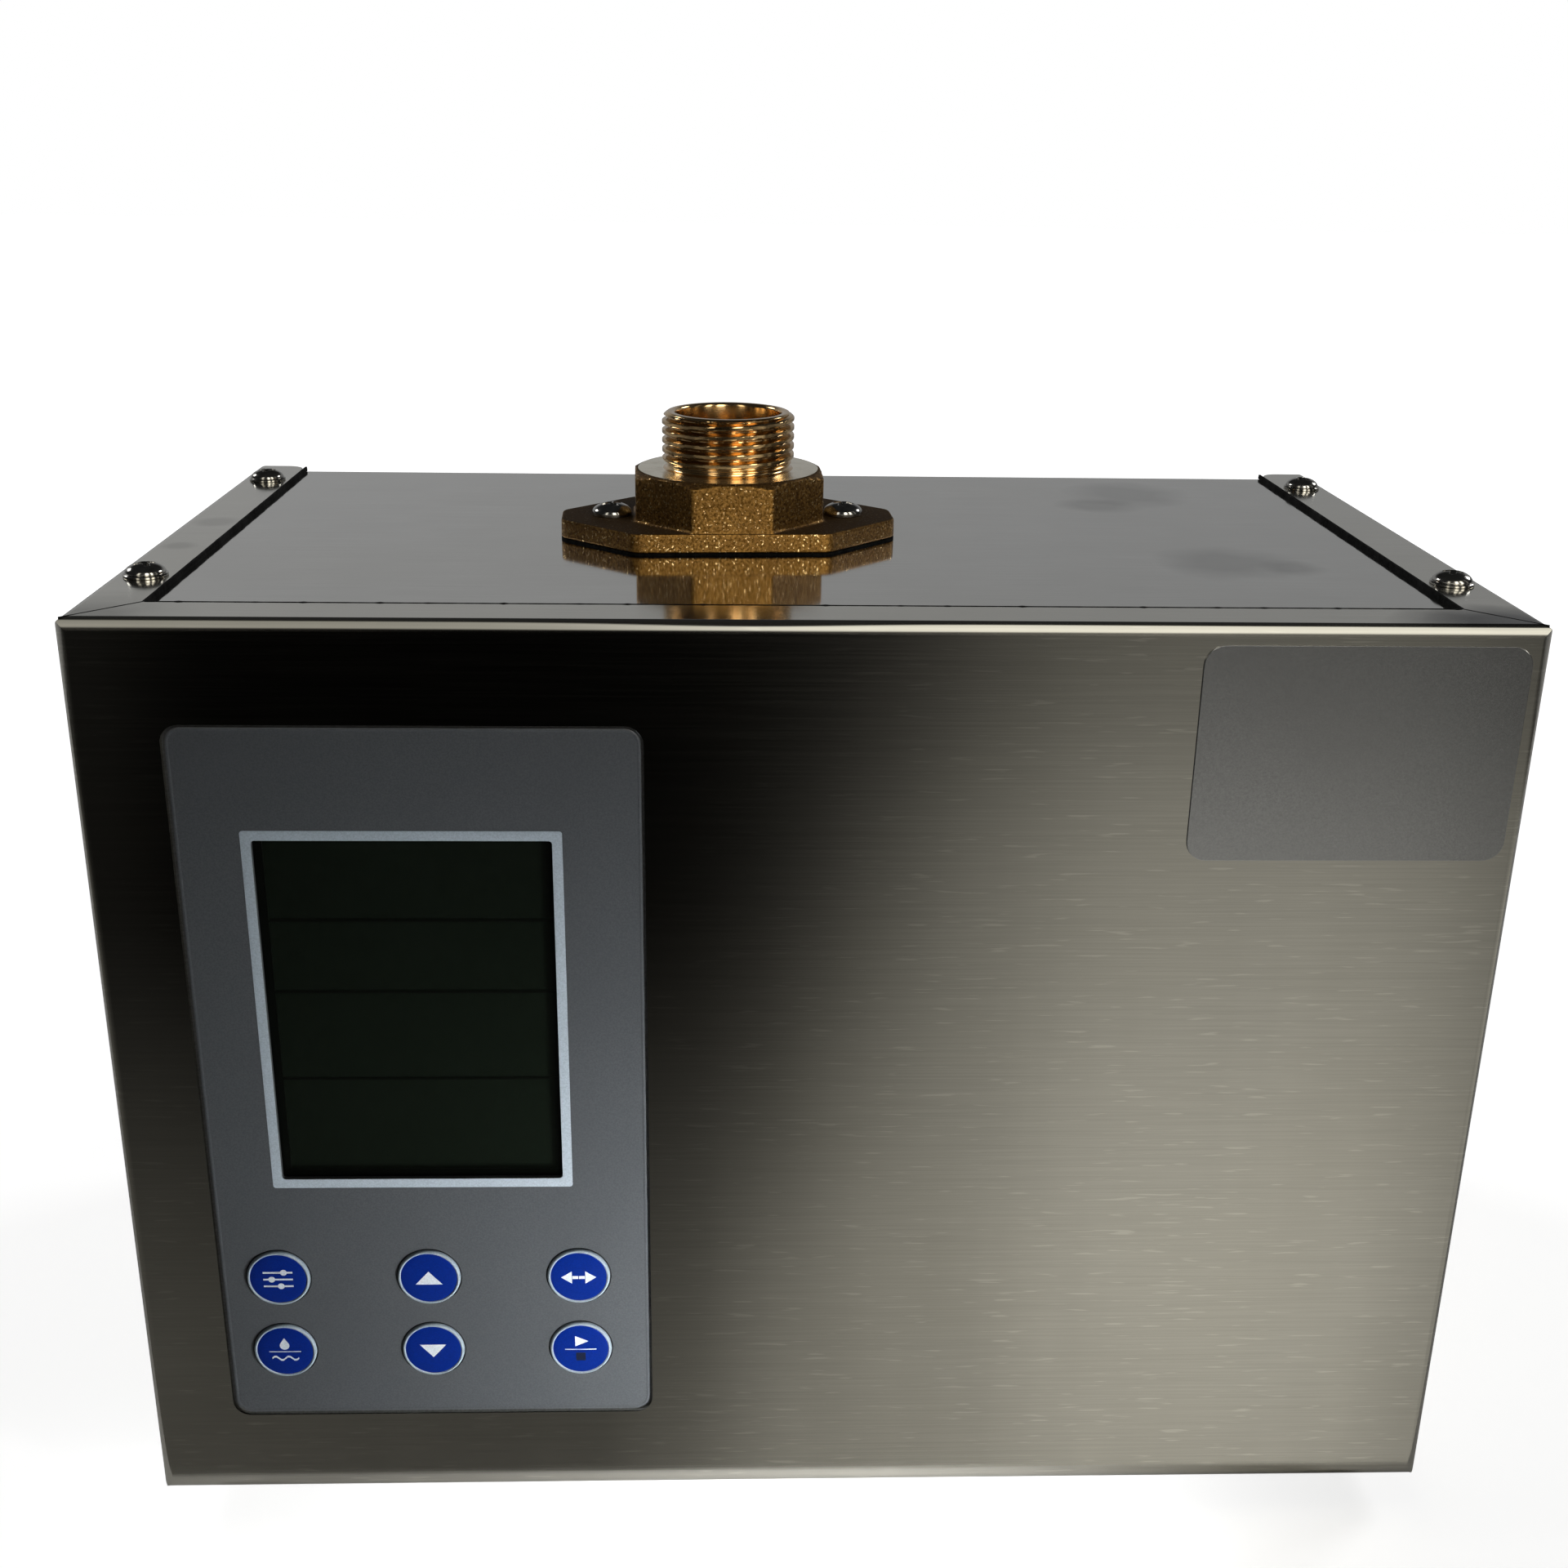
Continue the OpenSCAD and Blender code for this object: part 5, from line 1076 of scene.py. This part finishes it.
def floor_card():
    """Graded sheet on the floor and up a curve in front."""
    path = [(-0.10 - 0.65 * k / 26, 0.002) for k in range(27)]
    path += [(-0.75 - 0.45 * math.sin(a), 0.002 + 0.45 * (1 - math.cos(a)))
             for a in [math.radians(10 * k) for k in range(1, 10)]]
    columns = [-0.9 + 1.8 * k / 72 for k in range(73)]
    glow = []
    for y, z in path:
        # Where the line to the mirrored eye crosses the front sheet
        share = (SHEET_Y - y) / (SHEET_Y - y + (SHEET_Y - CARD_EYE[1]))
        for x in columns:
            level = card_glow(x + (CARD_EYE[0] - x) * share, z + (CARD_EYE[2] - z) * share)
            fade = ease(0.55, 0.85, abs(x))
            glow.append((level * (1 - fade) + 0.03 * fade) * (1 - ease(0.2, 0.44, z)))
    glow_card("floor_card", [[(x, y, z) for x in columns] for y, z in path], glow)


def edge_card():
    """Narrow curved sheet close round the upper bend of the front."""
    columns = [-0.18 + 0.36 * k / 60 for k in range(61)]
    degrees = range(-12, 96, 4)
    rows = []
    for a in degrees:
        y = BEND_Y - EDGE_CARD_R * math.cos(math.radians(a))
        z = BEND_Z + EDGE_CARD_R * math.sin(math.radians(a))
        rows.append([(x, y, z) for x in columns])
    glow_card("edge_card", rows, [bend_glow(x, a) for a in degrees for x in columns])


floor_card()
edge_card()


# Lamps: sizes in metres, power in watts

def area_light(name, at, look_at, width, height, power, color=(1, 1, 1)):
    data = bpy.data.lights.new(name, "AREA")
    data.shape = "RECTANGLE"
    data.size, data.size_y = width, height
    data.energy = power
    data.color = color
    made = add(name, data)
    made.location = at
    made.rotation_euler = (Vector(look_at) - Vector(at)).to_track_quat("-Z", "Y").to_euler()
    made.visible_camera = False
    return made


for side, word in ((-1, "left"), (1, "right")):
    area_light(word + "_light", (side * 1.7, 0.9, 1.2), (0, 0.02, 0.12), 0.6, 0.5, 9.0)
panel_light = area_light("panel_light", (0.04, -0.2, 0.04), (-0.07, -0.088, 0.06), 0.03, 0.03, 0.45)
panel_light.visible_glossy = False

# Tall strips round the outlet, seen as glints in its thread: azimuth, width and power of each
STRIPS = ((-30, 0.2, 1.2), (16.6, 0.28, 4.4), (45, 0.2, 2.6), (76, 0.12, 0.13))
STRIP_AWAY, STRIP_Z, STRIP_H = 0.95, 0.68, 0.86
STRIP_COLOR = (1.0, 0.95, 0.85)
PORT_X, PORT_Y = -0.018, 0.003
for k, (azimuth, width, power) in enumerate(STRIPS):
    a = math.radians(azimuth)
    at = (PORT_X + STRIP_AWAY * math.sin(a), PORT_Y - STRIP_AWAY * math.cos(a), STRIP_Z)
    strip = area_light(f"strip_light_{k}", at, (PORT_X, PORT_Y, STRIP_Z), width, STRIP_H, power, STRIP_COLOR)
    strip.visible_diffuse = False


# World: white to the camera, else a dim room with a grey wall behind the object, low and paler to the left

world = bpy.data.worlds.new("studio")
bpy.context.scene.world = world
world.use_nodes = True
world.node_tree.nodes.clear()
sky = Nodes(world.node_tree)
toward = sky.node("ShaderNodeSeparateXYZ", Vector=sky.node("ShaderNodeTexCoord").outputs["Generated"]).outputs
behind = sky.span(toward[1], 0.35, 0.75)
low_down = sky.span(toward[2], 0.3, 0.5, 1.0, 0.0)
tone = sky.span(toward[0], -0.5, 0.5, 0.37, 0.27)
wall = sky.math("MULTIPLY", sky.math("MULTIPLY", behind, low_down), tone)
room = sky.node("ShaderNodeBackground", Color=(0.98, 0.99, 1.0, 1), Strength=sky.math("ADD", wall, 0.025))
paper = sky.node("ShaderNodeBackground", Color=(1, 1, 1, 1), Strength=1.0)
camera_ray = sky.node("ShaderNodeLightPath").outputs["Is Camera Ray"]
either = sky.node("ShaderNodeMixShader", _0=camera_ray, _1=room.outputs[0], _2=paper.outputs[0])
sky.node("ShaderNodeOutputWorld", Surface=either.outputs[0])

bpy.context.scene.view_settings.view_transform = "Standard"
